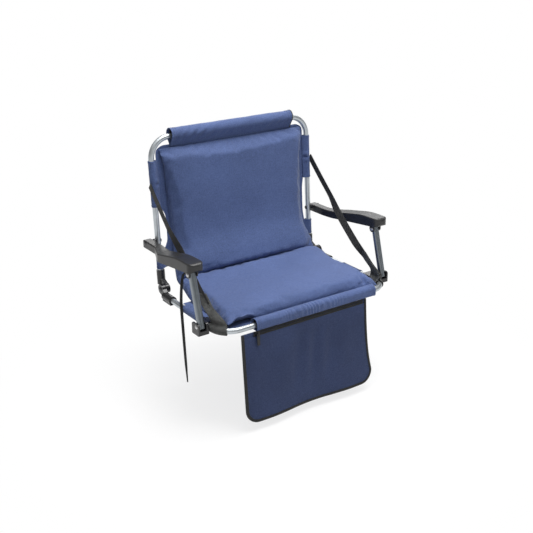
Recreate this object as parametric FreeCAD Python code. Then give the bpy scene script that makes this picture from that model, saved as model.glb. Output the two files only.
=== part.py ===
# Folding bleacher seat: a padded seat and back on two bent tubes, with armrests on
# folding posts and a zipped pouch that hangs from the front bar.
# Millimetres. +Z is up, the sitter faces -Y, and the origin lies in the middle of the
# bench plane that the four feet rest on. Left pieces have a negative X.

import FreeCAD
import Part
import math
import os
from FreeCAD import Vector

# Frame tubes
TUBE_DIAMETER = 15.0
TUBE_WALL = 1.5
SEAT_WIDTH = 516.0
SEAT_DEPTH = 332.0
SEAT_BEND = 50.0
BACK_INSET = 13.0
BACK_HEIGHT = 406.0
BACK_BEND = 54.0
RECLINE = 3.0
FOOT_THICKNESS = 4.5

# Fold linkage: hinge and arm pivot from where the back's axis meets the rails' plane,
# and the top of the posts from the front bar
HINGE_FORWARD = 26.0
HINGE_RISE = 14.0
ARM_PIVOT_RISE = 138.0
POST_TOP_SETBACK = 88.0
POST_PIN_RISE = 10.0

# Hinge sockets
SOCKET_WALL = 3.4
SOCKET_FIT = 0.1
SEAT_SOCKET_LENGTH = 43.0
SEAT_SOCKET_FLOOR = 5.0
BACK_SOCKET_RISE = 18.0
BACK_SOCKET_LENGTH = 39.0
BACK_SOCKET_FLOOR = 6.0
FOOT_WIDTH = 16.0
LUG_RADIUS = 13.0
LUG_THICKNESS = 11.0
LUG_CLEARANCE = 2.0
WASHER_THICKNESS = 1.0
WASHER_RADIUS = 9.0
HINGE_PIN_DIAMETER = 8.0
HINGE_HEAD_RADIUS = 7.5
HINGE_HEAD_HEIGHT = 4.0
RUNNING_CLEARANCE = 0.05
SIDE_CLEARANCE = 0.15

# Fasteners
FOOT_SCREW_DIAMETER = 4.0
FOOT_SCREW_HEAD_DIAMETER = 7.6
FOOT_SCREW_HEAD_HEIGHT = 2.0
FOOT_SCREW_RECESS = 2.6
RIVET_DIAMETER = 4.0
RIVET_HEAD_DIAMETER = 8.0
RIVET_HEAD_HEIGHT = 1.8

# Posts and their brackets
POST_WIDTH = 17.0
POST_DEPTH = 14.0
POST_CORNER = 4.5
POST_WALL = 2.0
POST_END = 7.0
POST_FLUTE_RADIUS = 1.4
POST_FLUTE_SPACING = 6.0
POST_PIN_DIAMETER = 6.0
POST_PIN_HEAD_RADIUS = 5.5
POST_PIN_HEAD_HEIGHT = 2.5
OPEN_PIVOT_CLEARANCE = 0.4
FORK_CLEARANCE = 0.4
FORK_CHEEK = 4.0
FORK_REACH = 11.0
FORK_BACK = 22.0
FORK_RISE = 8.0
FORK_FLOOR = 11.0
CLAMP_LENGTH = 26.0
CLAMP_OVERLAP = 14.0
CLAMP_WALL = 4.0
POST_OFFSET = 28.0

# Armrests
ARM_OVERHANG = 28.8
ARM_TAIL = 18.0
ARM_NECK_WIDTH = 24.0
ARM_PAD_WIDTH = 42.0
ARM_FRONT_RADIUS = 16.0
ARM_DROP = 14.0
ARM_REAR_THICKNESS = 19.5
ARM_FRONT_THICKNESS = 22.0
ARM_FRONT_RISE = 25.0
ARM_SHOULDER_DROP = 1.0
ARM_SHOULDER_SETBACK = 68.0
ARM_KNEE_LENGTH = 110.0
ARM_SWEEP = 260.0
ARM_NECK_LENGTH = 72.0
ARM_FLARE_LENGTH = 60.0
ARM_EDGE = 3.5
ARM_SKIN = 4.0
ARM_HOLLOW_LENGTH = 138.0
EAR_THICKNESS = 3.5
EAR_RADIUS = 9.0
ARM_PIN_DIAMETER = 6.0
ARM_PIN_HEAD_RADIUS = 5.5
ARM_PIN_HEAD_HEIGHT = 2.5
ARM_GAP = 6.0
SPACER_RADIUS = 6.5

# Cloth panels and sleeves
CLOTH = 2.0
SLEEVE_WALL = 1.6
SOFT_CLEARANCE = 0.3
SIDE_TAB = 13.0
SEAT_PANEL_CORNER = 30.0
BACK_PANEL_CORNER = 20.0
UPPER_SLEEVE_GAP = 2.0
UPPER_SLEEVE_LENGTH = 122.0
LOWER_SLEEVE_LENGTH = 44.0
LOWER_SLEEVE_GAP = 3.0
SEAT_SLEEVE_GAP = 21.2
SEAT_SLEEVE_LENGTH = 79.0
TOP_SLEEVE_GAP = 1.0
TOP_SLEEVE_RADIUS = 16.5
TOP_SLEEVE_RISE = 5.0
TOP_SLEEVE_LEAN = 2.0
TOP_SLEEVE_DROP = 27.0
FRONT_SLEEVE_SETBACK = 38.0
FRONT_SLEEVE_HEIGHT = 28.0
FRONT_SLEEVE_RISE = 3.4
FRONT_SLEEVE_DEPTH = 26.0
FRONT_SLEEVE_CORNER = 12.0
FRONT_SLEEVE_SEAM_CORNER = 6.0
LOOSE_CLOTH = 2.5

# Cushions
SEAT_CUSHION_INSET = 12.0
BACK_CUSHION_INSET = 6.0
COVER = 2.0
SEAT_CUSHION_FRONT = 27.0
SEAT_CUSHION_CROWN = 36.0
SEAT_CUSHION_REAR = 40.0
SEAT_CUSHION_SLANT = 8.0
BACK_CUSHION_FOOT = 32.0
BACK_CUSHION_CROWN = 29.0
BACK_CUSHION_TOP = 24.0
BACK_CUSHION_SLANT = 16.0
CUSHION_BOW = 6.5
CUSHION_DRAW = 2.0
CUSHION_CLEARANCE = 2.6

# Padded fold between the cushions: forward of and above where the back's axis meets the
# rails' plane
FOLD_REACH = 112.0
FOLD_RISE = 165.0
FOLD_INSET = 5.0
FOLD_LIFT = 10.0
FOLD_SEAT_SWELL = 7.5
FOLD_CREASE_FORWARD = 49.0
FOLD_CREASE_RISE = 36.0
FOLD_LUMBAR_FORWARD = 53.5
FOLD_LUMBAR_RISE = 58.0
FOLD_LOIN_FORWARD = 44.0
FOLD_LOIN_RISE = 84.0
FOLD_BACK_HOLLOW = 3.0
FOLD_HEEL_FORWARD = 34.0
FOLD_HEEL_RISE = 30.0
FOLD_HEEL_SWELL = 10.0
FOLD_CLEARANCE = 0.4

# Straps
STRAP_WIDTH = 20.0
STRAP_THICKNESS = 1.6
STRAP_SEAM_RISE = 60.0
STRAP_SAG = 9.0
STRAP_SECTIONS = 4
ANCHOR_WIDTH = 23.0
ANCHOR_RISE = 20.0
ANCHOR_SLACK = 2.4
ANCHOR_GAP = 2.0

# Free tape on the left strap, from the strap to its tip
TAIL_DIAMETER = 5.0
TAIL_BEND_SHARE = 0.45
TAIL_POINTS = [
    (-258.5, -6.0, 124.0),
    (-266.8, -6.0, 122.8),
    (-271.8, -2.0, 109.0),
    (-272.6, 4.0, 82.0),
    (-272.9, 10.0, 34.0),
    (-272.2, 8.0, -24.0),
    (-273.0, 3.0, -86.0),
    (-272.4, 0.0, -148.0),
    (-272.8, -4.0, -184.0),
]

# Pouch and zipper
POUCH_WIDTH = 404.0
POUCH_LEFT = 214.0
POUCH_FLARE = 14.0
POUCH_HEIGHT = 241.0
POUCH_CORNER = 36.0
POUCH_TILT = 4.0
POUCH_CLOTH = 1.2
POUCH_LAYER_GAP = 0.4
POUCH_WAVE = 5.0
POUCH_FORWARD = 9.0
BINDING_WIDTH = 8.0
BINDING_WRAP = 1.2
ZIP_START_INSET = 34.0
ZIP_END_INSET = 10.0
ZIP_TAPE_HEIGHT = 4.0
ZIP_TAPE_THICKNESS = 1.0
COIL_HEIGHT = 4.0
COIL_DEPTH = 2.2
SLIDER_LENGTH = 11.0
SLIDER_HEIGHT = 9.0
SLIDER_WALL = 1.4
SLIDER_CLEARANCE = 0.3
SLIDER_INSET = 6.0
BAIL_DEPTH = 4.0
BAIL_WALL = 1.6
BAIL_HEIGHT = 6.0
PULL_LENGTH = 30.0
PULL_WIDTH = 8.0
PULL_THICKNESS = 1.6
PULL_CLEARANCE = 0.4

# Places worked out from the sizes above
TUBE_RADIUS = TUBE_DIAMETER / 2
SOCKET_RADIUS = TUBE_RADIUS + SOCKET_FIT + SOCKET_WALL
RAIL_X = SEAT_WIDTH / 2
BACK_X = RAIL_X - BACK_INSET
RAIL_Z = TUBE_RADIUS + FOOT_THICKNESS
BACK_Y = SEAT_DEPTH / 2
FRONT_Y = -SEAT_DEPTH / 2
LEAN = math.tan(math.radians(RECLINE))
HINGE_Y = BACK_Y - HINGE_FORWARD
HINGE_Z = RAIL_Z + HINGE_RISE
ARM_PIVOT_Y = BACK_Y + ARM_PIVOT_RISE * LEAN
ARM_PIVOT_Z = RAIL_Z + ARM_PIVOT_RISE
POST_TOP_Y = FRONT_Y + POST_TOP_SETBACK
POST_PIN_Y = POST_TOP_Y - (ARM_PIVOT_Y - HINGE_Y)
POST_PIN_Z = RAIL_Z + POST_PIN_RISE
POST_TOP_Z = POST_PIN_Z + ARM_PIVOT_Z - HINGE_Z
POST_X = RAIL_X + POST_OFFSET
LUG_SPLIT = (RAIL_X + BACK_X) / 2
SEAT_LUG_X = LUG_SPLIT + WASHER_THICKNESS / 2
BACK_LUG_X = LUG_SPLIT - WASHER_THICKNESS / 2 - SIDE_CLEARANCE
SEAT_SOCKET_REAR = HINGE_Y - LUG_RADIUS - LUG_CLEARANCE
SEAT_SOCKET_FRONT = SEAT_SOCKET_REAR - SEAT_SOCKET_LENGTH
RAIL_END = SEAT_SOCKET_REAR - SEAT_SOCKET_FLOOR
BACK_SOCKET_BOTTOM = RAIL_Z + BACK_SOCKET_RISE
BACK_SOCKET_TOP = BACK_SOCKET_BOTTOM + BACK_SOCKET_LENGTH
BACK_TUBE_END = BACK_SOCKET_BOTTOM + BACK_SOCKET_FLOOR
BACK_RIVET_Z = (BACK_TUBE_END + BACK_SOCKET_TOP) / 2
TOP_BAR_Z = RAIL_Z + BACK_HEIGHT
FORK_HALF = POST_WIDTH / 2 + FORK_CLEARANCE
FORK_INNER = POST_X - FORK_HALF
FORK_OUTER = POST_X + FORK_HALF + FORK_CHEEK
FORK_FRONT_Y = POST_PIN_Y - FORK_REACH
FORK_REAR_Y = POST_PIN_Y + FORK_BACK
CLAMP_FRONT = FORK_REAR_Y - CLAMP_OVERLAP
CLAMP_REAR = CLAMP_FRONT + CLAMP_LENGTH
FOOT_SCREW_Y = [(SEAT_SOCKET_FRONT + RAIL_END) / 2, (CLAMP_FRONT + CLAMP_REAR) / 2]
ARM_INNER = BACK_X + TUBE_RADIUS + ARM_GAP
ARM_NECK_OUTER = ARM_INNER + ARM_NECK_WIDTH
ARM_REAR = ARM_PIVOT_Y + ARM_TAIL
ARM_FRONT = POST_TOP_Y - ARM_OVERHANG
ARM_BASE = ARM_PIVOT_Z - ARM_DROP
ARM_NECK_TOP = ARM_BASE + ARM_REAR_THICKNESS
ARM_NECK_END = ARM_REAR - ARM_NECK_LENGTH
SLEEVE_INNER = TUBE_RADIUS + SOFT_CLEARANCE
SLEEVE_OUTER = SLEEVE_INNER + SLEEVE_WALL
BACK_PANEL_X = BACK_X - SIDE_TAB
SEAT_PANEL_X = RAIL_X - SIDE_TAB
PANEL_BOTTOM = BACK_SOCKET_TOP + LOWER_SLEEVE_GAP
TOP_SEAM = TOP_BAR_Z - TOP_SLEEVE_DROP
UPPER_SLEEVE_BOTTOM = TOP_BAR_Z - BACK_BEND - UPPER_SLEEVE_GAP - UPPER_SLEEVE_LENGTH
STRAP_TOP_Z = UPPER_SLEEVE_BOTTOM + STRAP_SEAM_RISE
FRONT_BEND_X = RAIL_X - SEAT_BEND
SEAT_CUSHION_X = SEAT_PANEL_X - SEAT_CUSHION_INSET
BACK_CUSHION_X = BACK_PANEL_X - BACK_CUSHION_INSET
SEAT_PAD_BASE = RAIL_Z + CLOTH / 2 + SOFT_CLEARANCE
SEAT_PAD_FRONT = FRONT_Y + FRONT_SLEEVE_DEPTH / 2 + SOFT_CLEARANCE
SEAT_PAD_REAR = BACK_Y - FOLD_REACH
BACK_PAD_BOTTOM = RAIL_Z + FOLD_RISE
ANCHOR_REAR = CLAMP_FRONT - ANCHOR_GAP
ANCHOR_INNER = TUBE_RADIUS + ANCHOR_SLACK
ANCHOR_OUTER = ANCHOR_INNER + STRAP_THICKNESS
ANCHOR_TOP = RAIL_Z + ANCHOR_OUTER + ANCHOR_RISE
FRONT_SLEEVE_Z = RAIL_Z + FRONT_SLEEVE_RISE
POUCH_TOP = FRONT_SLEEVE_Z - FRONT_SLEEVE_HEIGHT / 2 - SOFT_CLEARANCE
POUCH_Y = FRONT_Y - POUCH_FORWARD
POUCH_THICKNESS = 2 * POUCH_CLOTH + POUCH_LAYER_GAP
ZIP_START = -POUCH_LEFT + ZIP_START_INSET
ZIP_END = POUCH_WIDTH - POUCH_LEFT - POUCH_FLARE - ZIP_END_INSET
ZIP_BOTTOM = POUCH_TOP - 2 * ZIP_TAPE_HEIGHT - COIL_HEIGHT
COIL_TOP = POUCH_TOP - ZIP_TAPE_HEIGHT
ZIP_Y = POUCH_Y - POUCH_CLOTH - POUCH_LAYER_GAP
COIL_Y = ZIP_Y - COIL_DEPTH
SLIDER_X = ZIP_START + SLIDER_INSET
SLIDER_FRONT = COIL_Y - SLIDER_CLEARANCE - SLIDER_WALL
SLIDER_Z = COIL_TOP - COIL_HEIGHT / 2
BAIL_Y = SLIDER_FRONT - BAIL_DEPTH / 2
BAIL_Z = SLIDER_Z

X_AXIS = Vector(1, 0, 0)
CUSHION_SHARES = (-1, -0.85, -0.65, -0.35, 0, 0.35, 0.65, 0.85, 1)


# Basic solids

def box(x0, x1, y0, y1, z0, z1):
    return Part.makeBox(x1 - x0, y1 - y0, z1 - z0, Vector(x0, y0, z0))


def rod_x(x0, x1, y, z, radius):
    return Part.makeCylinder(radius, x1 - x0, Vector(x0, y, z), X_AXIS)


def rod_y(y0, y1, x, z, radius):
    return Part.makeCylinder(radius, y1 - y0, Vector(x, y0, z), Vector(0, 1, 0))


def rod_z(z0, z1, x, y, radius):
    return Part.makeCylinder(radius, z1 - z0, Vector(x, y, z0), Vector(0, 0, 1))


def dome_x(x, y, z, radius, height, toward):
    """A domed head on the plane at x, rising toward +X or -X."""
    ball = (radius ** 2 + height ** 2) / (2 * height)
    sphere = Part.makeSphere(ball, Vector(x + toward * (height - ball), y, z))
    low = min(x, x + toward * height)
    return sphere.common(rod_x(low, low + height, y, z, radius))


def rounded_loop(corners, place):
    """A closed wire through corners of (u, v, radius), set in space by place(u, v)."""
    starts = []
    middles = []
    ends = []
    for index, (u, v, radius) in enumerate(corners):
        before = corners[index - 1]
        after = corners[(index + 1) % len(corners)]
        corner = Vector(u, v, 0)
        arriving = (corner - Vector(before[0], before[1], 0)).normalize()
        leaving = (Vector(after[0], after[1], 0) - corner).normalize()
        half_turn = arriving.getAngle(leaving) / 2
        run = radius * math.tan(half_turn)
        inward = (leaving - arriving).normalize()
        sagitta = radius / math.cos(half_turn) - radius
        starts.append(corner - arriving * run)
        middles.append(corner + inward * sagitta)
        ends.append(corner + leaving * run)
    edges = []
    for index, (u, v, radius) in enumerate(corners):
        start = place(starts[index].x, starts[index].y)
        end = place(ends[index].x, ends[index].y)
        if radius > 0:
            middle = place(middles[index].x, middles[index].y)
            edges.append(Part.Arc(start, middle, end).toShape())
        following = starts[(index + 1) % len(corners)]
        target = place(following.x, following.y)
        if end.distanceToPoint(target) > 1e-6:
            edges.append(Part.LineSegment(end, target).toShape())
    return Part.Wire(edges)


def prism_x(corners, x0, x1):
    wire = rounded_loop(corners, lambda u, v: Vector(x0, u, v))
    return Part.Face(wire).extrude(Vector(x1 - x0, 0, 0))


def prism_y(corners, y0, y1):
    wire = rounded_loop(corners, lambda u, v: Vector(u, y0, v))
    return Part.Face(wire).extrude(Vector(0, y1 - y0, 0))


def prism_z(corners, z0, z1):
    wire = rounded_loop(corners, lambda u, v: Vector(u, v, z0))
    return Part.Face(wire).extrude(Vector(0, 0, z1 - z0))


def path_wire(points, radii):
    """Straight runs through points, joined by tangent arcs of the given radii."""
    edges = []
    position = points[0]
    for index in range(1, len(points) - 1):
        corner = points[index]
        arriving = (corner - points[index - 1]).normalize()
        leaving = (points[index + 1] - corner).normalize()
        half_turn = arriving.getAngle(leaving) / 2
        run = radii[index - 1] * math.tan(half_turn)
        start = corner - arriving * run
        end = corner + leaving * run
        inward = (leaving - arriving).normalize()
        middle = corner + inward * (radii[index - 1] / math.cos(half_turn) - radii[index - 1])
        edges.append(Part.LineSegment(position, start).toShape())
        edges.append(Part.Arc(start, middle, end).toShape())
        position = end
    edges.append(Part.LineSegment(position, points[-1]).toShape())
    return Part.Wire(edges)


def swept_rod(points, radii, radius):
    path = path_wire(points, radii)
    direction = points[1] - points[0]
    circle = Part.Wire([Part.Circle(points[0], direction, radius).toShape()])
    return path.makePipeShell([circle], True, False)


def bent_tube(points, bend):
    radii = [bend] * (len(points) - 2)
    outside = swept_rod(points, radii, TUBE_RADIUS)
    return outside.cut(swept_rod(points, radii, TUBE_RADIUS - TUBE_WALL))


def mirrored(shape):
    return shape.mirror(Vector(0, 0, 0), X_AXIS)


def reclined(shape):
    """Lean an upright back piece about the line where the back meets the rails' plane."""
    leaning = shape.copy()
    leaning.rotate(Vector(0, BACK_Y, RAIL_Z), X_AXIS, -RECLINE)
    return leaning


def upright_point(y, z):
    """Where a point of the leaning back lies before it is reclined."""
    angle = math.radians(RECLINE)
    dy = y - BACK_Y
    dz = z - RAIL_Z
    upright_y = BACK_Y + dy * math.cos(angle) - dz * math.sin(angle)
    upright_z = RAIL_Z + dy * math.sin(angle) + dz * math.cos(angle)
    return upright_y, upright_z


def tilted(shape):
    """Lean an upright pouch piece forward about its top seam."""
    leaning = shape.copy()
    leaning.rotate(Vector(0, POUCH_Y, POUCH_TOP), X_AXIS, -POUCH_TILT)
    return leaning


def tilted_point(y, z):
    angle = math.radians(POUCH_TILT)
    dy = y - POUCH_Y
    dz = z - POUCH_TOP
    leaning_y = POUCH_Y + dy * math.cos(angle) + dz * math.sin(angle)
    leaning_z = POUCH_TOP - dy * math.sin(angle) + dz * math.cos(angle)
    return leaning_y, leaning_z


# Frame

def seat_frame_tube():
    points = [
        Vector(-RAIL_X, RAIL_END, RAIL_Z),
        Vector(-RAIL_X, FRONT_Y, RAIL_Z),
        Vector(RAIL_X, FRONT_Y, RAIL_Z),
        Vector(RAIL_X, RAIL_END, RAIL_Z),
    ]
    tube = bent_tube(points, SEAT_BEND)
    for x in (-RAIL_X, RAIL_X):
        for y in FOOT_SCREW_Y:
            tube = tube.cut(rod_z(0, RAIL_Z, x, y, FOOT_SCREW_DIAMETER / 2))
    return tube


def back_frame_tube():
    points = [
        Vector(-BACK_X, BACK_Y, BACK_TUBE_END),
        Vector(-BACK_X, BACK_Y, TOP_BAR_Z),
        Vector(BACK_X, BACK_Y, TOP_BAR_Z),
        Vector(BACK_X, BACK_Y, BACK_TUBE_END),
    ]
    tube = bent_tube(points, BACK_BEND)
    arm_y, arm_z = upright_point(ARM_PIVOT_Y, ARM_PIVOT_Z)
    for x in (-BACK_X, BACK_X):
        tube = tube.cut(rod_x(x - TUBE_DIAMETER, x + TUBE_DIAMETER, arm_y, arm_z, ARM_PIN_DIAMETER / 2))
        tube = tube.cut(rod_y(BACK_Y, BACK_Y + TUBE_DIAMETER, x, BACK_RIVET_Z, RIVET_DIAMETER / 2))
    return reclined(tube)


# Hinges

def hinge_seat_socket():
    barrel = rod_y(SEAT_SOCKET_FRONT, SEAT_SOCKET_REAR, RAIL_X, RAIL_Z, SOCKET_RADIUS)
    half_foot = FOOT_WIDTH / 2
    foot = box(RAIL_X - half_foot, RAIL_X + half_foot, SEAT_SOCKET_FRONT, SEAT_SOCKET_REAR, 0, RAIL_Z)
    lug = rod_x(SEAT_LUG_X, SEAT_LUG_X + LUG_THICKNESS, HINGE_Y, HINGE_Z, LUG_RADIUS)
    web_corners = [
        (SEAT_SOCKET_REAR - SEAT_SOCKET_FLOOR, RAIL_Z - SOCKET_RADIUS, 0),
        (HINGE_Y, HINGE_Z - LUG_RADIUS, 0),
        (HINGE_Y, HINGE_Z + LUG_RADIUS, 0),
        (SEAT_SOCKET_REAR - SEAT_SOCKET_FLOOR, RAIL_Z + SOCKET_RADIUS, 0),
    ]
    web = prism_x(web_corners, SEAT_LUG_X, SEAT_LUG_X + LUG_THICKNESS)
    socket = barrel.fuse([foot, lug, web])
    socket = socket.cut(rod_y(SEAT_SOCKET_FRONT, RAIL_END, RAIL_X, RAIL_Z, TUBE_RADIUS + SOCKET_FIT))
    pin_hole = rod_x(SEAT_LUG_X, SEAT_LUG_X + LUG_THICKNESS, HINGE_Y, HINGE_Z, HINGE_PIN_DIAMETER / 2)
    return socket.cut([pin_hole, foot_screw_hole(RAIL_X, FOOT_SCREW_Y[0])])


def hinge_back_socket():
    hinge_y, hinge_z = upright_point(HINGE_Y, HINGE_Z)
    inner = BACK_LUG_X - LUG_THICKNESS
    barrel = rod_z(BACK_SOCKET_BOTTOM, BACK_SOCKET_TOP, BACK_X, BACK_Y, SOCKET_RADIUS)
    lug = rod_x(inner, BACK_LUG_X, hinge_y, hinge_z, LUG_RADIUS)
    web_top = BACK_SOCKET_BOTTOM + BACK_SOCKET_LENGTH / 2
    web_corners = [
        (hinge_y, hinge_z - LUG_RADIUS, 0),
        (BACK_Y, BACK_SOCKET_BOTTOM, 0),
        (BACK_Y, web_top, 0),
        (BACK_Y - SOCKET_RADIUS / 2, web_top, 0),
        (hinge_y, hinge_z + LUG_RADIUS, 0),
    ]
    web = prism_x(web_corners, inner, BACK_LUG_X)
    socket = barrel.fuse([lug, web])
    tube_bore = rod_z(BACK_TUBE_END, BACK_SOCKET_TOP, BACK_X, BACK_Y, TUBE_RADIUS + SOCKET_FIT)
    pin_bore = rod_x(inner, BACK_LUG_X, hinge_y, hinge_z, HINGE_PIN_DIAMETER / 2 + RUNNING_CLEARANCE)
    rivet_hole = rod_y(BACK_Y, BACK_Y + 2 * SOCKET_RADIUS, BACK_X, BACK_RIVET_Z, RIVET_DIAMETER / 2)
    return reclined(socket.cut([tube_bore, pin_bore, rivet_hole]))


def hinge_pin():
    inner = BACK_LUG_X - LUG_THICKNESS - SIDE_CLEARANCE
    outer = SEAT_LUG_X + LUG_THICKNESS
    shank = rod_x(inner, outer, HINGE_Y, HINGE_Z, HINGE_PIN_DIAMETER / 2)
    outer_head = dome_x(outer, HINGE_Y, HINGE_Z, HINGE_HEAD_RADIUS, HINGE_HEAD_HEIGHT, 1)
    inner_head = dome_x(inner, HINGE_Y, HINGE_Z, HINGE_HEAD_RADIUS, HINGE_HEAD_HEIGHT, -1)
    return shank.fuse([outer_head, inner_head])


def hinge_washer():
    low = LUG_SPLIT - WASHER_THICKNESS / 2
    disc = rod_x(low, low + WASHER_THICKNESS, HINGE_Y, HINGE_Z, WASHER_RADIUS)
    return disc.cut(rod_x(low, low + WASHER_THICKNESS, HINGE_Y, HINGE_Z, HINGE_PIN_DIAMETER / 2))


def foot_screw_hole(x, y):
    recess = rod_z(0, FOOT_SCREW_RECESS, x, y, FOOT_SCREW_HEAD_DIAMETER / 2 + SOFT_CLEARANCE)
    return recess.fuse(rod_z(0, RAIL_Z, x, y, FOOT_SCREW_DIAMETER / 2))


def foot_screw(x, y):
    head_low = FOOT_SCREW_RECESS - FOOT_SCREW_HEAD_HEIGHT
    head = rod_z(head_low, FOOT_SCREW_RECESS, x, y, FOOT_SCREW_HEAD_DIAMETER / 2)
    tip = RAIL_Z - TUBE_RADIUS + 2 * TUBE_WALL
    return head.fuse(rod_z(head_low, tip, x, y, FOOT_SCREW_DIAMETER / 2))


def back_socket_rivet():
    surface = BACK_Y + SOCKET_RADIUS
    shank = rod_y(BACK_Y + TUBE_RADIUS - 2 * TUBE_WALL, surface, BACK_X, BACK_RIVET_Z, RIVET_DIAMETER / 2)
    head = rod_y(surface, surface + RIVET_HEAD_HEIGHT, BACK_X, BACK_RIVET_Z, RIVET_HEAD_DIAMETER / 2)
    return reclined(shank.fuse(head))


# Posts

def post_bracket():
    clamp_half = SOCKET_RADIUS
    clamp_top = RAIL_Z + TUBE_RADIUS + CLAMP_WALL
    clamp = box(RAIL_X - clamp_half, FORK_INNER, CLAMP_FRONT, CLAMP_REAR, 0, clamp_top)
    cheek_inner = RAIL_X + SOCKET_RADIUS + ANCHOR_GAP / 2
    cheek_top = POST_PIN_Z + FORK_RISE
    fork_corners = [
        (FORK_FRONT_Y, 0, 2),
        (FORK_REAR_Y, 0, 2),
        (FORK_REAR_Y, cheek_top, 6),
        (FORK_FRONT_Y, cheek_top, 6),
    ]
    fork = prism_x(fork_corners, cheek_inner, FORK_OUTER)
    slot = box(FORK_INNER, POST_X + FORK_HALF, FORK_FRONT_Y - 1, FORK_REAR_Y + 1, FORK_FLOOR, cheek_top + 1)
    rail_bore = rod_y(CLAMP_FRONT, CLAMP_REAR, RAIL_X, RAIL_Z, TUBE_RADIUS + SOCKET_FIT)
    pin_hole = rod_x(cheek_inner, FORK_OUTER, POST_PIN_Y, POST_PIN_Z, POST_PIN_DIAMETER / 2)
    body = clamp.fuse(fork)
    return body.cut([slot, rail_bore, pin_hole, foot_screw_hole(RAIL_X, FOOT_SCREW_Y[1])])


def post_lower_pin():
    inner = RAIL_X + SOCKET_RADIUS + ANCHOR_GAP / 2
    shank = rod_x(inner, FORK_OUTER, POST_PIN_Y, POST_PIN_Z, POST_PIN_DIAMETER / 2)
    head = dome_x(FORK_OUTER, POST_PIN_Y, POST_PIN_Z, POST_PIN_HEAD_RADIUS, POST_PIN_HEAD_HEIGHT, 1)
    return shank.fuse(head)


def arm_post():
    """A fluted tube along Z from the lower pin, then leaned to the upper pin."""
    span = math.hypot(POST_TOP_Y - POST_PIN_Y, POST_TOP_Z - POST_PIN_Z)
    half_x = POST_WIDTH / 2
    half_y = POST_DEPTH / 2
    low = POST_PIN_Z - POST_END
    high = POST_PIN_Z + span + POST_END

    def rounded_bar(inset):
        radius = POST_CORNER - inset / 2
        corners = [
            (POST_X - half_x + inset, POST_PIN_Y - half_y + inset, radius),
            (POST_X + half_x - inset, POST_PIN_Y - half_y + inset, radius),
            (POST_X + half_x - inset, POST_PIN_Y + half_y - inset, radius),
            (POST_X - half_x + inset, POST_PIN_Y + half_y - inset, radius),
        ]
        return prism_z(corners, low, high)

    post = rounded_bar(0).cut(rounded_bar(POST_WALL))
    for x in (POST_X - POST_FLUTE_SPACING / 2, POST_X + POST_FLUTE_SPACING / 2):
        for y in (POST_PIN_Y - half_y, POST_PIN_Y + half_y):
            post = post.cut(rod_z(low, high, x, y, POST_FLUTE_RADIUS))
    lower_hole = POST_PIN_DIAMETER / 2 + RUNNING_CLEARANCE
    upper_hole = POST_PIN_DIAMETER / 2 + OPEN_PIVOT_CLEARANCE
    for z, radius in ((POST_PIN_Z, lower_hole), (POST_PIN_Z + span, upper_hole)):
        post = post.cut(rod_x(POST_X - POST_WIDTH, POST_X + POST_WIDTH, POST_PIN_Y, z, radius))
    lean = math.degrees(math.atan2(POST_TOP_Y - POST_PIN_Y, POST_TOP_Z - POST_PIN_Z))
    post.rotate(Vector(POST_X, POST_PIN_Y, POST_PIN_Z), X_AXIS, -lean)
    return post


# Armrests

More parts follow.
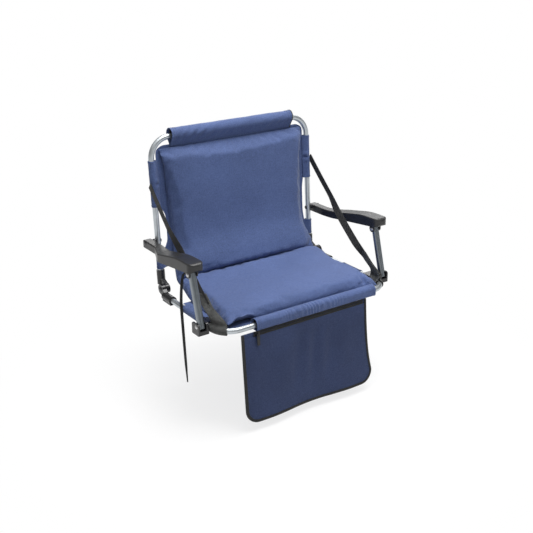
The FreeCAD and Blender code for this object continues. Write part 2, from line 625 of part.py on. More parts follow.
def armrest():
    pad_inner = POST_X - ARM_PAD_WIDTH / 2
    pad_outer = POST_X + ARM_PAD_WIDTH / 2
    front_top = ARM_NECK_TOP + ARM_FRONT_RISE
    front_base = front_top - ARM_FRONT_THICKNESS
    shoulder_top = front_top - ARM_SHOULDER_DROP
    shoulder = ARM_FRONT + ARM_SHOULDER_SETBACK
    knee = ARM_REAR - ARM_KNEE_LENGTH
    pad_start = ARM_NECK_END - ARM_FLARE_LENGTH
    tip_radius = ARM_NECK_WIDTH / 3
    plan = [
        (ARM_INNER, ARM_REAR, tip_radius),
        (ARM_INNER, ARM_NECK_END, ARM_PAD_WIDTH),
        (pad_inner, pad_start, ARM_PAD_WIDTH / 2),
        (pad_inner, ARM_FRONT, ARM_FRONT_RADIUS),
        (pad_outer, ARM_FRONT, ARM_FRONT_RADIUS),
        (pad_outer, pad_start, ARM_PAD_WIDTH / 2),
        (ARM_NECK_OUTER, ARM_NECK_END, ARM_PAD_WIDTH / 2),
        (ARM_NECK_OUTER, ARM_REAR, tip_radius),
    ]
    profile = [
        (ARM_REAR, ARM_BASE, tip_radius),
        (ARM_REAR, ARM_NECK_TOP, tip_radius),
        (knee, ARM_NECK_TOP, ARM_SWEEP),
        (shoulder, shoulder_top, ARM_SWEEP),
        (ARM_FRONT, front_top, tip_radius),
        (ARM_FRONT, front_base, tip_radius),
        (knee, ARM_BASE, ARM_SWEEP),
    ]
    solid = prism_x(profile, ARM_INNER - ARM_EDGE, pad_outer + ARM_EDGE)
    solid = solid.common(prism_z(plan, ARM_BASE - ARM_EDGE, front_top + ARM_EDGE))
    solid = solid.makeFillet(ARM_EDGE, arm_top_edges(solid))
    hollow_front = ARM_FRONT + 2 * ARM_SKIN
    hollow_rear = hollow_front + ARM_HOLLOW_LENGTH
    slope = (shoulder_top - ARM_NECK_TOP) / (knee - shoulder)
    ceiling = shoulder_top - 2 * ARM_SKIN
    ceiling_rear = ceiling - slope * (hollow_rear - shoulder)
    hollow = [
        (hollow_front, ARM_BASE - ARM_SKIN, 0),
        (hollow_rear, ARM_BASE - ARM_SKIN, 0),
        (hollow_rear, ceiling_rear, 0),
        (shoulder, ceiling, 0),
        (hollow_front, ceiling, 0),
    ]
    solid = solid.cut(prism_x(hollow, pad_inner + ARM_SKIN, pad_outer - ARM_SKIN))
    ear_top = ceiling + ARM_SKIN / 2
    for inner in (POST_X - FORK_HALF - EAR_THICKNESS, POST_X + FORK_HALF):
        outer = inner + EAR_THICKNESS
        plate = box(inner, outer, POST_TOP_Y - EAR_RADIUS, POST_TOP_Y + EAR_RADIUS, POST_TOP_Z, ear_top)
        solid = solid.fuse([plate, rod_x(inner, outer, POST_TOP_Y, POST_TOP_Z, EAR_RADIUS)])
    bore_radius = ARM_PIN_DIAMETER / 2 + RUNNING_CLEARANCE
    pin_bore = rod_x(ARM_INNER - 1, ARM_NECK_OUTER + 1, ARM_PIVOT_Y, ARM_PIVOT_Z, bore_radius)
    rivet_bore = rod_x(
        POST_X - ARM_PAD_WIDTH, POST_X + ARM_PAD_WIDTH, POST_TOP_Y, POST_TOP_Z, POST_PIN_DIAMETER / 2
    )
    ears_only = rod_x(
        POST_X - FORK_HALF - EAR_THICKNESS, POST_X + FORK_HALF + EAR_THICKNESS,
        POST_TOP_Y, POST_TOP_Z, EAR_RADIUS,
    )
    return solid.cut([pin_bore, rivet_bore.common(ears_only)])


def arm_top_edges(solid):
    """Edges round the top of an armrest, where its top faces meet its walls."""
    edges = []
    for edge in solid.Edges:
        middle = edge.valueAt((edge.FirstParameter + edge.LastParameter) / 2)
        neighbours = solid.ancestorsOfType(edge, Part.Face)
        normals = []
        for face in neighbours:
            u, v = face.Surface.parameter(middle)
            normals.append(face.normalAt(u, v))
        upward = [normal.z > 0.5 for normal in normals]
        sideways = [abs(normal.z) < 0.2 for normal in normals]
        if any(upward) and any(sideways):
            edges.append(edge)
    return edges


def arm_front_rivet():
    low = POST_X - FORK_HALF - EAR_THICKNESS
    high = POST_X + FORK_HALF + EAR_THICKNESS
    shank = rod_x(low, high, POST_TOP_Y, POST_TOP_Z, POST_PIN_DIAMETER / 2)
    outer = dome_x(high, POST_TOP_Y, POST_TOP_Z, POST_PIN_HEAD_RADIUS, POST_PIN_HEAD_HEIGHT, 1)
    inner = dome_x(low, POST_TOP_Y, POST_TOP_Z, POST_PIN_HEAD_RADIUS, POST_PIN_HEAD_HEIGHT, -1)
    return shank.fuse([outer, inner])


def arm_pivot_pin():
    inner = BACK_X - TUBE_RADIUS
    outer = ARM_NECK_OUTER + SIDE_CLEARANCE
    shank = rod_x(inner, outer, ARM_PIVOT_Y, ARM_PIVOT_Z, ARM_PIN_DIAMETER / 2)
    inner_head = dome_x(inner, ARM_PIVOT_Y, ARM_PIVOT_Z, ARM_PIN_HEAD_RADIUS, ARM_PIN_HEAD_HEIGHT, -1)
    outer_head = dome_x(outer, ARM_PIVOT_Y, ARM_PIVOT_Z, ARM_PIN_HEAD_RADIUS, ARM_PIN_HEAD_HEIGHT, 1)
    return shank.fuse([inner_head, outer_head])


def arm_spacer():
    low = BACK_X + TUBE_RADIUS + SOFT_CLEARANCE
    high = ARM_INNER - SIDE_CLEARANCE
    ring = rod_x(low, high, ARM_PIVOT_Y, ARM_PIVOT_Z, SPACER_RADIUS)
    return ring.cut(rod_x(low, high, ARM_PIVOT_Y, ARM_PIVOT_Z, ARM_PIN_DIAMETER / 2))


# Cloth panels and sleeves

def back_panel():
    half = CLOTH / 2
    corners = [
        (-BACK_PANEL_X, PANEL_BOTTOM, 0),
        (BACK_PANEL_X, PANEL_BOTTOM, 0),
        (BACK_PANEL_X, TOP_SEAM, BACK_PANEL_CORNER),
        (-BACK_PANEL_X, TOP_SEAM, BACK_PANEL_CORNER),
    ]
    return reclined(prism_y(corners, BACK_Y - half, BACK_Y + half))


def upright_sleeve(bottom, length):
    half = CLOTH / 2
    skin = rod_z(bottom, bottom + length, BACK_X, BACK_Y, SLEEVE_OUTER)
    tab = box(BACK_PANEL_X, BACK_X, BACK_Y - half, BACK_Y + half, bottom, bottom + length)
    sleeve = skin.fuse(tab)
    return reclined(sleeve.cut(rod_z(bottom, bottom + length, BACK_X, BACK_Y, SLEEVE_INNER)))


def seat_panel():
    half = CLOTH / 2
    front = FRONT_Y + FRONT_SLEEVE_DEPTH / 2
    corners = [
        (-SEAT_PANEL_X, front, SEAT_PANEL_CORNER),
        (SEAT_PANEL_X, front, SEAT_PANEL_CORNER),
        (SEAT_PANEL_X, SEAT_PAD_REAR, 0),
        (-SEAT_PANEL_X, SEAT_PAD_REAR, 0),
    ]
    return prism_z(corners, RAIL_Z - half, RAIL_Z + half)


def seat_sleeve():
    half = CLOTH / 2
    front = CLAMP_REAR + SEAT_SLEEVE_GAP
    rear = front + SEAT_SLEEVE_LENGTH
    skin = rod_y(front, rear, RAIL_X, RAIL_Z, SLEEVE_OUTER)
    tab = box(SEAT_PANEL_X, RAIL_X, front, rear, RAIL_Z - half, RAIL_Z + half)
    return skin.fuse(tab).cut(rod_y(front, rear, RAIL_X, RAIL_Z, SLEEVE_INNER))


def teardrop(radius, seam_half, seam_z, half_width):
    """A drop-shaped prism along X: a round top that narrows to a seam below."""
    centre_y = BACK_Y - TOP_SLEEVE_LEAN
    centre_z = TOP_BAR_Z + TOP_SLEEVE_RISE
    seam_front = Vector(-half_width, BACK_Y - seam_half, seam_z)
    seam_rear = Vector(-half_width, BACK_Y + seam_half, seam_z)

    def on_round(angle):
        turn = math.radians(angle)
        return Vector(-half_width, centre_y + radius * math.cos(turn), centre_z + radius * math.sin(turn))

    rear, rear_top, top, front_top, front = (on_round(angle) for angle in (-25, 35, 90, 145, 205))
    edges = [
        Part.LineSegment(seam_rear, rear).toShape(),
        Part.Arc(rear, rear_top, top).toShape(),
        Part.Arc(top, front_top, front).toShape(),
        Part.LineSegment(front, seam_front).toShape(),
        Part.LineSegment(seam_front, seam_rear).toShape(),
    ]
    return Part.Face(Part.Wire(edges)).extrude(Vector(2 * half_width, 0, 0))


def top_sleeve():
    half_width = BACK_X - BACK_BEND - TOP_SLEEVE_GAP
    outside = teardrop(TOP_SLEEVE_RADIUS, CLOTH, TOP_SEAM, half_width)
    hollow = teardrop(TOP_SLEEVE_RADIUS - LOOSE_CLOTH, CLOTH / 4, TOP_SEAM + 3 * LOOSE_CLOTH, half_width)
    return reclined(outside.cut(hollow))


def front_sleeve():
    def rounded_roll(inset):
        half_y = FRONT_SLEEVE_DEPTH / 2 - inset
        half_z = FRONT_SLEEVE_HEIGHT / 2 - inset
        radius = FRONT_SLEEVE_CORNER - inset
        seam_radius = FRONT_SLEEVE_SEAM_CORNER - inset
        corners = [
            (FRONT_Y - half_y, FRONT_SLEEVE_Z - half_z, seam_radius),
            (FRONT_Y + half_y, FRONT_SLEEVE_Z - half_z, seam_radius),
            (FRONT_Y + half_y, FRONT_SLEEVE_Z + half_z, radius),
            (FRONT_Y - half_y, FRONT_SLEEVE_Z + half_z, radius),
        ]
        return prism_x(corners, FRONT_SLEEVE_SETBACK - FRONT_BEND_X, FRONT_BEND_X)

    return rounded_roll(0).cut(rounded_roll(LOOSE_CLOTH))


# Cushions

def fullness(share):
    """How thick a cushion is at a share of its half width: thinner toward the side seams."""
    return 1 - 0.4 * share ** 6


def pad_section(x, fold_end, far_end, base, heights, slant, bow):
    """One cross-section of a cushion: flat below and at the fold, crowned, bowed at the far end."""
    toward = math.copysign(1, far_end - fold_end)
    fold_height, crown, far_height = heights
    low_far = Vector(x, far_end, base)
    high_far = Vector(x, far_end - toward * slant, base + far_height)
    low_fold = Vector(x, fold_end, base)
    high_fold = Vector(x, fold_end, base + fold_height)
    outward = Vector(0, toward * far_height, slant).normalize()
    bowed = (low_far + high_far) / 2 + outward * bow
    edges = [
        Part.LineSegment(low_fold, low_far).toShape(),
        Part.Arc(low_far, bowed, high_far).toShape(),
        Part.Arc(high_far, Vector(x, (fold_end + far_end) / 2, base + crown), high_fold).toShape(),
        Part.LineSegment(high_fold, low_fold).toShape(),
    ]
    return Part.Wire(edges)


def pad(half_width, fold_end, far_end, base, heights, slant, trim=0.0):
    """A crowned cushion lying flat, whose far end is drawn in between the corners."""
    toward = math.copysign(1, far_end - fold_end)
    sections = []
    for share in CUSHION_SHARES:
        scaled = [height * fullness(share) - trim for height in heights]
        drawn = CUSHION_CLEARANCE + CUSHION_DRAW * (1 - share ** 2)
        end = far_end - toward * drawn
        bow = CUSHION_BOW * fullness(share)
        sections.append(pad_section(share * half_width, fold_end, end, base, scaled, slant, bow))
    return Part.makeLoft(sections, True, False)


def cushion_pair(half_width, fold_end, far_end, base, heights, slant):
    """The cover and the foam inside it, lying flat."""
    inset = math.copysign(COVER, far_end - fold_end)
    outside = pad(half_width, fold_end, far_end, base, heights, slant)
    foam = pad(
        half_width - COVER, fold_end + inset, far_end - inset, base + COVER, heights, slant, 2 * COVER
    )
    return outside.cut(foam), foam


def raised(shape):
    """Turn a cushion that lies flat into one that stands in front of the back's plane."""
    standing = shape.copy()
    standing.rotate(Vector(0, 0, 0), X_AXIS, 90)
    standing.translate(Vector(0, BACK_Y, 0))
    return reclined(standing)


def fold_section(x, share):
    """One cross-section of the fold, from points set forward of and above the foot of the back."""
    full = fullness(share)
    reach = FOLD_REACH - FOLD_CLEARANCE
    top = FOLD_RISE - FOLD_CLEARANCE
    seat_height = SEAT_PAD_BASE - RAIL_Z + SEAT_CUSHION_REAR
    rear_depth = CLOTH / 2 + SOFT_CLEARANCE
    lean = math.radians(RECLINE)

    def at(forward, rise):
        return Vector(x, BACK_Y - forward, RAIL_Z + rise)

    def leaning(depth):
        """On the fold's top face, at a depth in front of the back's plane."""
        return depth * math.cos(lean) - top * math.sin(lean), top * math.cos(lean) + depth * math.sin(lean)

    def on_seat(forward, rise):
        share_back = (reach - forward) / (reach - FOLD_HEEL_FORWARD)
        under = FOLD_LIFT + (FOLD_HEEL_RISE - FOLD_LIFT) * share_back
        return at(forward, under + (rise - under) * full)

    def on_back(forward, rise):
        share_up = (rise - FOLD_HEEL_RISE) / (top - FOLD_HEEL_RISE)
        rear = FOLD_HEEL_FORWARD + (leaning(rear_depth)[0] - FOLD_HEEL_FORWARD) * share_up
        return at(rear + (forward - rear) * full, rise)

    top_rear = leaning(rear_depth)
    top_front = leaning(rear_depth + BACK_CUSHION_FOOT * full)
    full_front = leaning(rear_depth + BACK_CUSHION_FOOT)
    front = on_seat(reach, seat_height)
    swell = on_seat(
        (reach + FOLD_CREASE_FORWARD) / 2, (seat_height + FOLD_CREASE_RISE) / 2 + FOLD_SEAT_SWELL
    )
    crease = on_seat(FOLD_CREASE_FORWARD, FOLD_CREASE_RISE)
    lumbar = on_back(FOLD_LUMBAR_FORWARD, FOLD_LUMBAR_RISE)
    loin = on_back(FOLD_LOIN_FORWARD, FOLD_LOIN_RISE)
    hollow = on_back(
        (FOLD_LOIN_FORWARD + full_front[0]) / 2 - FOLD_BACK_HOLLOW, (FOLD_LOIN_RISE + full_front[1]) / 2
    )
    heel = at(FOLD_HEEL_FORWARD, FOLD_HEEL_RISE)
    calf = at(
        (FOLD_HEEL_FORWARD + top_rear[0]) / 2 - FOLD_HEEL_SWELL, (FOLD_HEEL_RISE + top_rear[1]) / 2
    )
    edges = [
        Part.LineSegment(front, at(reach, FOLD_LIFT)).toShape(),
        Part.LineSegment(at(reach, FOLD_LIFT), heel).toShape(),
        Part.Arc(heel, calf, at(*top_rear)).toShape(),
        Part.LineSegment(at(*top_rear), at(*top_front)).toShape(),
        Part.Arc(at(*top_front), hollow, loin).toShape(),
        Part.Arc(loin, lumbar, crease).toShape(),
        Part.Arc(crease, swell, front).toShape(),
    ]
    return Part.Wire(edges)


def cushion_fold():
    """The padded fold between seat and back, with the crease on its upper side."""
    half_width = BACK_CUSHION_X - FOLD_INSET
    return Part.makeLoft([fold_section(share * half_width, share) for share in CUSHION_SHARES], True, False)


# Straps

def strap_anchor():
    front = ANCHOR_REAR - ANCHOR_WIDTH
    ring = rod_y(front, ANCHOR_REAR, RAIL_X, RAIL_Z, ANCHOR_OUTER)
    tab = box(
        RAIL_X - STRAP_THICKNESS, RAIL_X + STRAP_THICKNESS, front, ANCHOR_REAR, RAIL_Z, ANCHOR_TOP
    )
    return ring.fuse(tab).cut(rod_y(front, ANCHOR_REAR, RAIL_X, RAIL_Z, ANCHOR_INNER))


def strap():
    """Flat webbing from the side sleeve down to the top edge of its anchor."""
    top = Vector(
        BACK_X + SLEEVE_OUTER + SOFT_CLEARANCE + STRAP_THICKNESS / 2,
        BACK_Y + (STRAP_TOP_Z - RAIL_Z) * LEAN,
        STRAP_TOP_Z,
    )
    bottom = Vector(RAIL_X, ANCHOR_REAR - ANCHOR_WIDTH / 2, ANCHOR_TOP)
    chord = (bottom - top).normalize()
    across = Vector(0, -chord.z, chord.y).normalize()
    sections = []
    for index in range(STRAP_SECTIONS + 1):
        share = index / STRAP_SECTIONS
        centre = top + (bottom - top) * share
        centre.z -= STRAP_SAG * 4 * share * (1 - share)
        half = across * (STRAP_WIDTH / 2)
        if index == STRAP_SECTIONS:
            half = Vector(0, math.copysign(ANCHOR_WIDTH / 2, across.y), 0)
        sections.append(flat_section(centre, half, STRAP_THICKNESS / 2))
    return Part.makeLoft(sections, True, True)


def flat_section(centre, half, half_thickness):
    side = Vector(half_thickness, 0, 0)
    return Part.makePolygon([
        centre + half + side,
        centre + half - side,
        centre - half - side,
        centre - half + side,
        centre + half + side,
    ])


def strap_tail():
    points = [Vector(*point) for point in TAIL_POINTS]
    radii = []
    for before, corner, after in zip(points, points[1:], points[2:]):
        half_turn = (corner - before).getAngle(after - corner) / 2
        shorter = min(corner.distanceToPoint(before), after.distanceToPoint(corner))
        radii.append(TAIL_BEND_SHARE * shorter / math.tan(half_turn))
    tail = swept_rod(points, radii, TAIL_DIAMETER / 2)
    length = path_wire(points, radii).Length
    plain_volume = math.pi * (TAIL_DIAMETER / 2) ** 2 * length
    print("tail radii", [round(radius, 1) for radius in radii])
    print("tail length", round(length, 1), "volume share", round(tail.Volume / plain_volume, 4))
    return tail


# Pouch and zipper

def pouch_outline(inset, y0, y1):
    left = -POUCH_LEFT + inset
    right = -POUCH_LEFT + POUCH_WIDTH - inset
    bottom = POUCH_TOP - POUCH_HEIGHT + inset
    radius = POUCH_CORNER - inset
    corners = [
        (left, POUCH_TOP, 0),
        (left, bottom, radius),
        (right, bottom, radius),
        (right - POUCH_FLARE, POUCH_TOP, 0),
    ]
    return prism_y(corners, y0, y1)


def waved_sheet(front, rear):
    """A hanging sheet between two offsets from the pouch's plane, with three shallow folds."""
    fold = POUCH_WIDTH / 3
    bottom = POUCH_TOP - POUCH_HEIGHT

    def wave(offset, depth, z):
        edges = []
        for index in range(3):
            bow = depth if index == 1 else -depth
            left = -POUCH_LEFT + index * fold
            start = Vector(left, POUCH_Y + offset, z)
            middle = Vector(left + fold / 2, POUCH_Y + offset + bow, z)
            end = Vector(left + fold, POUCH_Y + offset, z)
            edges.append(Part.Arc(start, middle, end).toShape())
        return edges

    sections = []
    for z, bow in ((POUCH_TOP, 0.01), (ZIP_BOTTOM - BINDING_WIDTH, 0.01), (bottom, POUCH_WAVE)):
        edges = wave(front, bow, z) + wave(rear, bow, z)
        for x in (-POUCH_LEFT, POUCH_WIDTH - POUCH_LEFT):
            ends = [Vector(x, POUCH_Y + offset, z) for offset in (front, rear)]
            edges.append(Part.LineSegment(*ends).toShape())
        sections.append(Part.Wire(Part.__sortEdges__(edges)))
    return Part.makeLoft(sections, True, True)


def pouch_panels():
    """The pouch's back and front cloth and the binding round their edges."""
    inset = BINDING_WRAP
    near = -POUCH_CLOTH - POUCH_LAYER_GAP
    reach = POUCH_WAVE + POUCH_THICKNESS + BINDING_WRAP
    inside = pouch_outline(inset, POUCH_Y - 2 * reach, POUCH_Y + 2 * reach)
    back = waved_sheet(-POUCH_CLOTH, 0).common(inside)
    front = waved_sheet(near - POUCH_CLOTH, near).common(inside)
    zip_window = box(ZIP_START, ZIP_END, POUCH_Y - 2 * reach, POUCH_Y + 2 * reach, ZIP_BOTTOM, POUCH_TOP)
    front = front.cut(zip_window)
    ring = pouch_outline(0, POUCH_Y - 2 * reach, POUCH_Y + 2 * reach)
    window = pouch_outline(BINDING_WIDTH, POUCH_Y - 3 * reach, POUCH_Y + 3 * reach)
    wrap = waved_sheet(near - POUCH_CLOTH - BINDING_WRAP, BINDING_WRAP)
    binding = wrap.common(ring).cut(window)
    filling = waved_sheet(near - POUCH_CLOTH, 0).common(inside)
    return tilted(back), tilted(front), tilted(binding.cut(filling))


def zipper_tape():
    upper = box(ZIP_START, ZIP_END, ZIP_Y - ZIP_TAPE_THICKNESS, ZIP_Y, COIL_TOP, POUCH_TOP)
    lower = box(ZIP_START, ZIP_END, ZIP_Y - ZIP_TAPE_THICKNESS, ZIP_Y, ZIP_BOTTOM, COIL_TOP - COIL_HEIGHT)
    return Part.makeCompound([tilted(upper), tilted(lower)])


def zipper_coil():
    return tilted(box(ZIP_START, ZIP_END, COIL_Y, ZIP_Y, COIL_TOP - COIL_HEIGHT, COIL_TOP))


def zipper_slider():
    half = SLIDER_HEIGHT / 2
    end = SLIDER_X + SLIDER_LENGTH
    rear = ZIP_Y - ZIP_TAPE_THICKNESS - SLIDER_CLEARANCE
    body = box(SLIDER_X, end, SLIDER_FRONT, rear, SLIDER_Z - half, SLIDER_Z + half)
    gap = COIL_HEIGHT / 2 + SLIDER_CLEARANCE
    channel = box(SLIDER_X - 1, end + 1, SLIDER_FRONT + SLIDER_WALL, ZIP_Y, SLIDER_Z - gap, SLIDER_Z + gap)
    middle = SLIDER_X + SLIDER_LENGTH / 2
    bail = box(
        middle - BAIL_WALL / 2, middle + BAIL_WALL / 2,
        SLIDER_FRONT - BAIL_DEPTH, SLIDER_FRONT,
        BAIL_Z - BAIL_HEIGHT / 2, BAIL_Z + BAIL_HEIGHT / 2,
    )
    eye = rod_x(middle - BAIL_WALL, middle + BAIL_WALL, BAIL_Y, BAIL_Z, PULL_THICKNESS / 2 + PULL_CLEARANCE)
    return tilted(body.cut(channel).fuse(bail).cut(eye))


def zipper_pull():
    middle = SLIDER_X + SLIDER_LENGTH / 2
    half = PULL_WIDTH / 2
    half_thickness = PULL_THICKNESS / 2
    low = BAIL_Z - PULL_LENGTH
    blade = [
        (middle - half, low, half / 2),
        (middle + half, low, half / 2),
        (middle + half, BAIL_Z + half_thickness, half_thickness),
        (middle - half, BAIL_Z + half_thickness, half_thickness),
    ]
    plate = prism_y(blade, BAIL_Y - half_thickness, BAIL_Y + half_thickness)
    gap = BAIL_WALL / 2 + PULL_CLEARANCE
    window_low = BAIL_Z - BAIL_HEIGHT / 2 - PULL_CLEARANCE - BAIL_DEPTH
    window = box(middle - gap, middle + gap, BAIL_Y - 1, BAIL_Y + 1, window_low, BAIL_Z - half_thickness)
    return tilted(plate.cut(window))


# Every node and its solid

def both_sides(name, right):
    return {name + "_left": mirrored(right), name + "_right": right}


def pair(right):
    return Part.makeCompound([mirrored(right), right])


def all_nodes():
    seat_cover, seat_foam = cushion_pair(
        SEAT_CUSHION_X, SEAT_PAD_REAR, SEAT_PAD_FRONT, SEAT_PAD_BASE,
        (SEAT_CUSHION_REAR, SEAT_CUSHION_CROWN, SEAT_CUSHION_FRONT), SEAT_CUSHION_SLANT,
    )
    back_cover, back_foam = cushion_pair(
        BACK_CUSHION_X, BACK_PAD_BOTTOM, TOP_SEAM, CLOTH / 2 + SOFT_CLEARANCE,
        (BACK_CUSHION_FOOT, BACK_CUSHION_CROWN, BACK_CUSHION_TOP), BACK_CUSHION_SLANT,
    )
    pouch_back, pouch_front, binding = pouch_panels()
    screws = [foot_screw(x, y) for x in (-RAIL_X, RAIL_X) for y in FOOT_SCREW_Y]
    nodes = {
        "seat_frame_tube": seat_frame_tube(),
        "back_frame_tube": back_frame_tube(),
        "hinge_pins": pair(hinge_pin()),
        "hinge_washers": pair(hinge_washer()),
        "foot_screws": Part.makeCompound(screws),
        "back_socket_rivets": pair(back_socket_rivet()),
        "post_lower_pins": pair(post_lower_pin()),
        "arm_pivot_pins": pair(arm_pivot_pin()),
        "arm_spacers": pair(arm_spacer()),
        "seat_panel": seat_panel(),
        "seat_cushion_cover": seat_cover,
        "seat_cushion_foam": seat_foam,
        "front_sleeve": front_sleeve(),
        "cushion_fold": cushion_fold(),
        "back_panel": back_panel(),
        "back_cushion_cover": raised(back_cover),
        "back_cushion_foam": raised(back_foam),
        "top_sleeve": top_sleeve(),
        "strap_tail_left": strap_tail(),
        "pouch_back_panel": pouch_back,
        "pouch_front_panel": pouch_front,
        "pouch_binding": binding,
        "zipper_tape": zipper_tape(),
        "zipper_coil": zipper_coil(),
        "zipper_slider": zipper_slider(),
        "zipper_pull": zipper_pull(),
    }
    nodes.update(both_sides("hinge_seat_socket", hinge_seat_socket()))
    nodes.update(both_sides("hinge_back_socket", hinge_back_socket()))
    nodes.update(both_sides("post_bracket", post_bracket()))
    nodes.update(both_sides("arm_post", arm_post()))
    nodes.update(both_sides("armrest", armrest()))
    nodes.update(both_sides("arm_front_rivet", arm_front_rivet()))
    nodes.update(both_sides("seat_sleeve", seat_sleeve()))
    upper = upright_sleeve(UPPER_SLEEVE_BOTTOM, UPPER_SLEEVE_LENGTH)
    nodes.update(both_sides("upper_side_sleeve", upper))
    nodes.update(both_sides("lower_side_sleeve", upright_sleeve(PANEL_BOTTOM, LOWER_SLEEVE_LENGTH)))
    nodes.update(both_sides("strap_anchor", strap_anchor()))
    nodes.update(both_sides("strap", strap()))
    return nodes


def main():
    os.makedirs("parts", exist_ok=True)
    for name, shape in all_nodes().items():
        shape.exportStep("parts/" + name + ".step")
        solids = shape.Solids
        print(name, "solids", len(solids), "valid", shape.isValid(), "volume", round(shape.Volume, 1))
    bail_y, bail_z = tilted_point(BAIL_Y, BAIL_Z)
    print("hinge", HINGE_Y, HINGE_Z)
    print("arm pivot", round(ARM_PIVOT_Y, 4), ARM_PIVOT_Z)
    print("post pin", round(POST_PIN_Y, 4), POST_PIN_Z)
    print("post top", POST_TOP_Y, POST_TOP_Z)
    seam_y, seam_z = tilted_point(ZIP_Y - ZIP_TAPE_THICKNESS, POUCH_TOP)
    print("pouch seam", round(seam_y, 4), round(seam_z, 4))
    print("zipper bail", round(bail_y, 4), round(bail_z, 4))


main()
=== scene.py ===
import math

import bmesh
import bpy
import numpy as np
from mathutils import Matrix, Vector


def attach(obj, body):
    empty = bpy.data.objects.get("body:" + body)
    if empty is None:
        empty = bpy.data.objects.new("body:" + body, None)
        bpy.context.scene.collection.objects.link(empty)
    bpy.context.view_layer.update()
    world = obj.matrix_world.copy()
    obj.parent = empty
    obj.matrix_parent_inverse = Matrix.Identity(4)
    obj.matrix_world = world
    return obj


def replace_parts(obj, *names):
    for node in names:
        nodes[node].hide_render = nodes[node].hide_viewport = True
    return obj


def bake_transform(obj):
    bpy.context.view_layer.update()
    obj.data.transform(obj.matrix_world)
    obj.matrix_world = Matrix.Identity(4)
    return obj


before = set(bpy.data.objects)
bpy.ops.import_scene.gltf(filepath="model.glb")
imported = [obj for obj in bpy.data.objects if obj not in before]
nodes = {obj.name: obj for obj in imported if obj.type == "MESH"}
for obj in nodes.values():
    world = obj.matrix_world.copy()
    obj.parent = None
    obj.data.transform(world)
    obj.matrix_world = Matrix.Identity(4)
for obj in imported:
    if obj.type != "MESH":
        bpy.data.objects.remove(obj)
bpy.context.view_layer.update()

# Places of the frame's tubes, in millimetres, and the back's lean.
RAIL_Z = 12.0
BACK_Y = 166.0
FRONT_Y = -166.0
RAIL_X = 258.0
BACK_X = 245.0
LEAN_ANGLE = math.radians(3.0)
LEAN = math.tan(LEAN_ANGLE)
SIDES = ((-1, "left"), (1, "right"))


def metres(points):
    return [Vector((p[0] / 1000, p[1] / 1000, p[2] / 1000)) for p in points]


def ripple(a, b, seed):
    """Smooth repeatable noise of two coordinates, about -1 to 1."""
    total = 0.0
    for k in range(1, 5):
        total += math.sin(a * k * 1.7 + seed * 2.3 * k + 1.3 * math.sin(b * k * 0.9 + seed)) / k
        total += math.sin(b * k * 1.9 - seed * 1.1 * k + 1.1 * math.sin(a * k * 0.7 - seed * k)) / k
    return total / 4


def bump(value, centre, width):
    return math.exp(-((value - centre) / width) ** 2)


def ease(value, low, high):
    """0 below low, 1 above high, and smooth between them."""
    t = min(1.0, max(0.0, (value - low) / (high - low)))
    return t * t * (3 - 2 * t)


def catmull(points, count):
    """A smooth run of count points through the given points."""
    pts = [np.array(p, float) for p in points]
    pts = [2 * pts[0] - pts[1]] + pts + [2 * pts[-1] - pts[-2]]
    spans = len(pts) - 3
    run = []
    for i in range(count):
        f = i / (count - 1) * spans
        k = min(int(f), spans - 1)
        t = f - k
        a, b, c, d = pts[k:k + 4]
        run.append(0.5 * (2 * b + (c - a) * t + (2 * a - 5 * b + 4 * c - d) * t * t
                          + (3 * b - a - 3 * c + d) * t ** 3))
    return run


# Materials

def grey(level):
    return (level, level, level)


def opaque(colour):
    """A colour with its alpha, or a node's output as it is."""
    return (*colour, 1.0) if isinstance(colour, tuple) else colour


class Tree:
    """Short ways to add nodes to a node tree and to join them."""

    def __init__(self, tree):
        self.tree = tree

    def join(self, output, socket):
        self.tree.links.new(output, socket)

    def node(self, kind, inputs, **options):
        """A new node, whose inputs are plain values or other nodes' outputs, by name or number."""
        node = self.tree.nodes.new("ShaderNode" + kind)
        for key, value in options.items():
            setattr(node, key, value)
        for key, value in inputs.items():
            if isinstance(value, bpy.types.NodeSocket):
                self.join(value, node.inputs[key])
            else:
                node.inputs[key].default_value = value
        return node

    def math(self, operation, *values):
        return self.node("Math", dict(enumerate(values)), operation=operation).outputs[0]

    def scaled(self, value, factor, offset):
        return self.math("ADD", self.math("MULTIPLY", value, factor), offset)

    def ramp(self, value, stops):
        node = self.node("ValToRGB", {0: value})
        ramp = node.color_ramp
        while len(ramp.elements) < len(stops):
            ramp.elements.new(0.5)
        for element, (place, colour) in zip(ramp.elements, stops):
            element.position = place
            element.color = opaque(colour)
        return node.outputs[0]

    def mix(self, factor, a, b, blend="MIX"):
        inputs = {0: factor, 6: opaque(a), 7: opaque(b)}
        return self.node("Mix", inputs, data_type="RGBA", blend_type=blend).outputs[2]


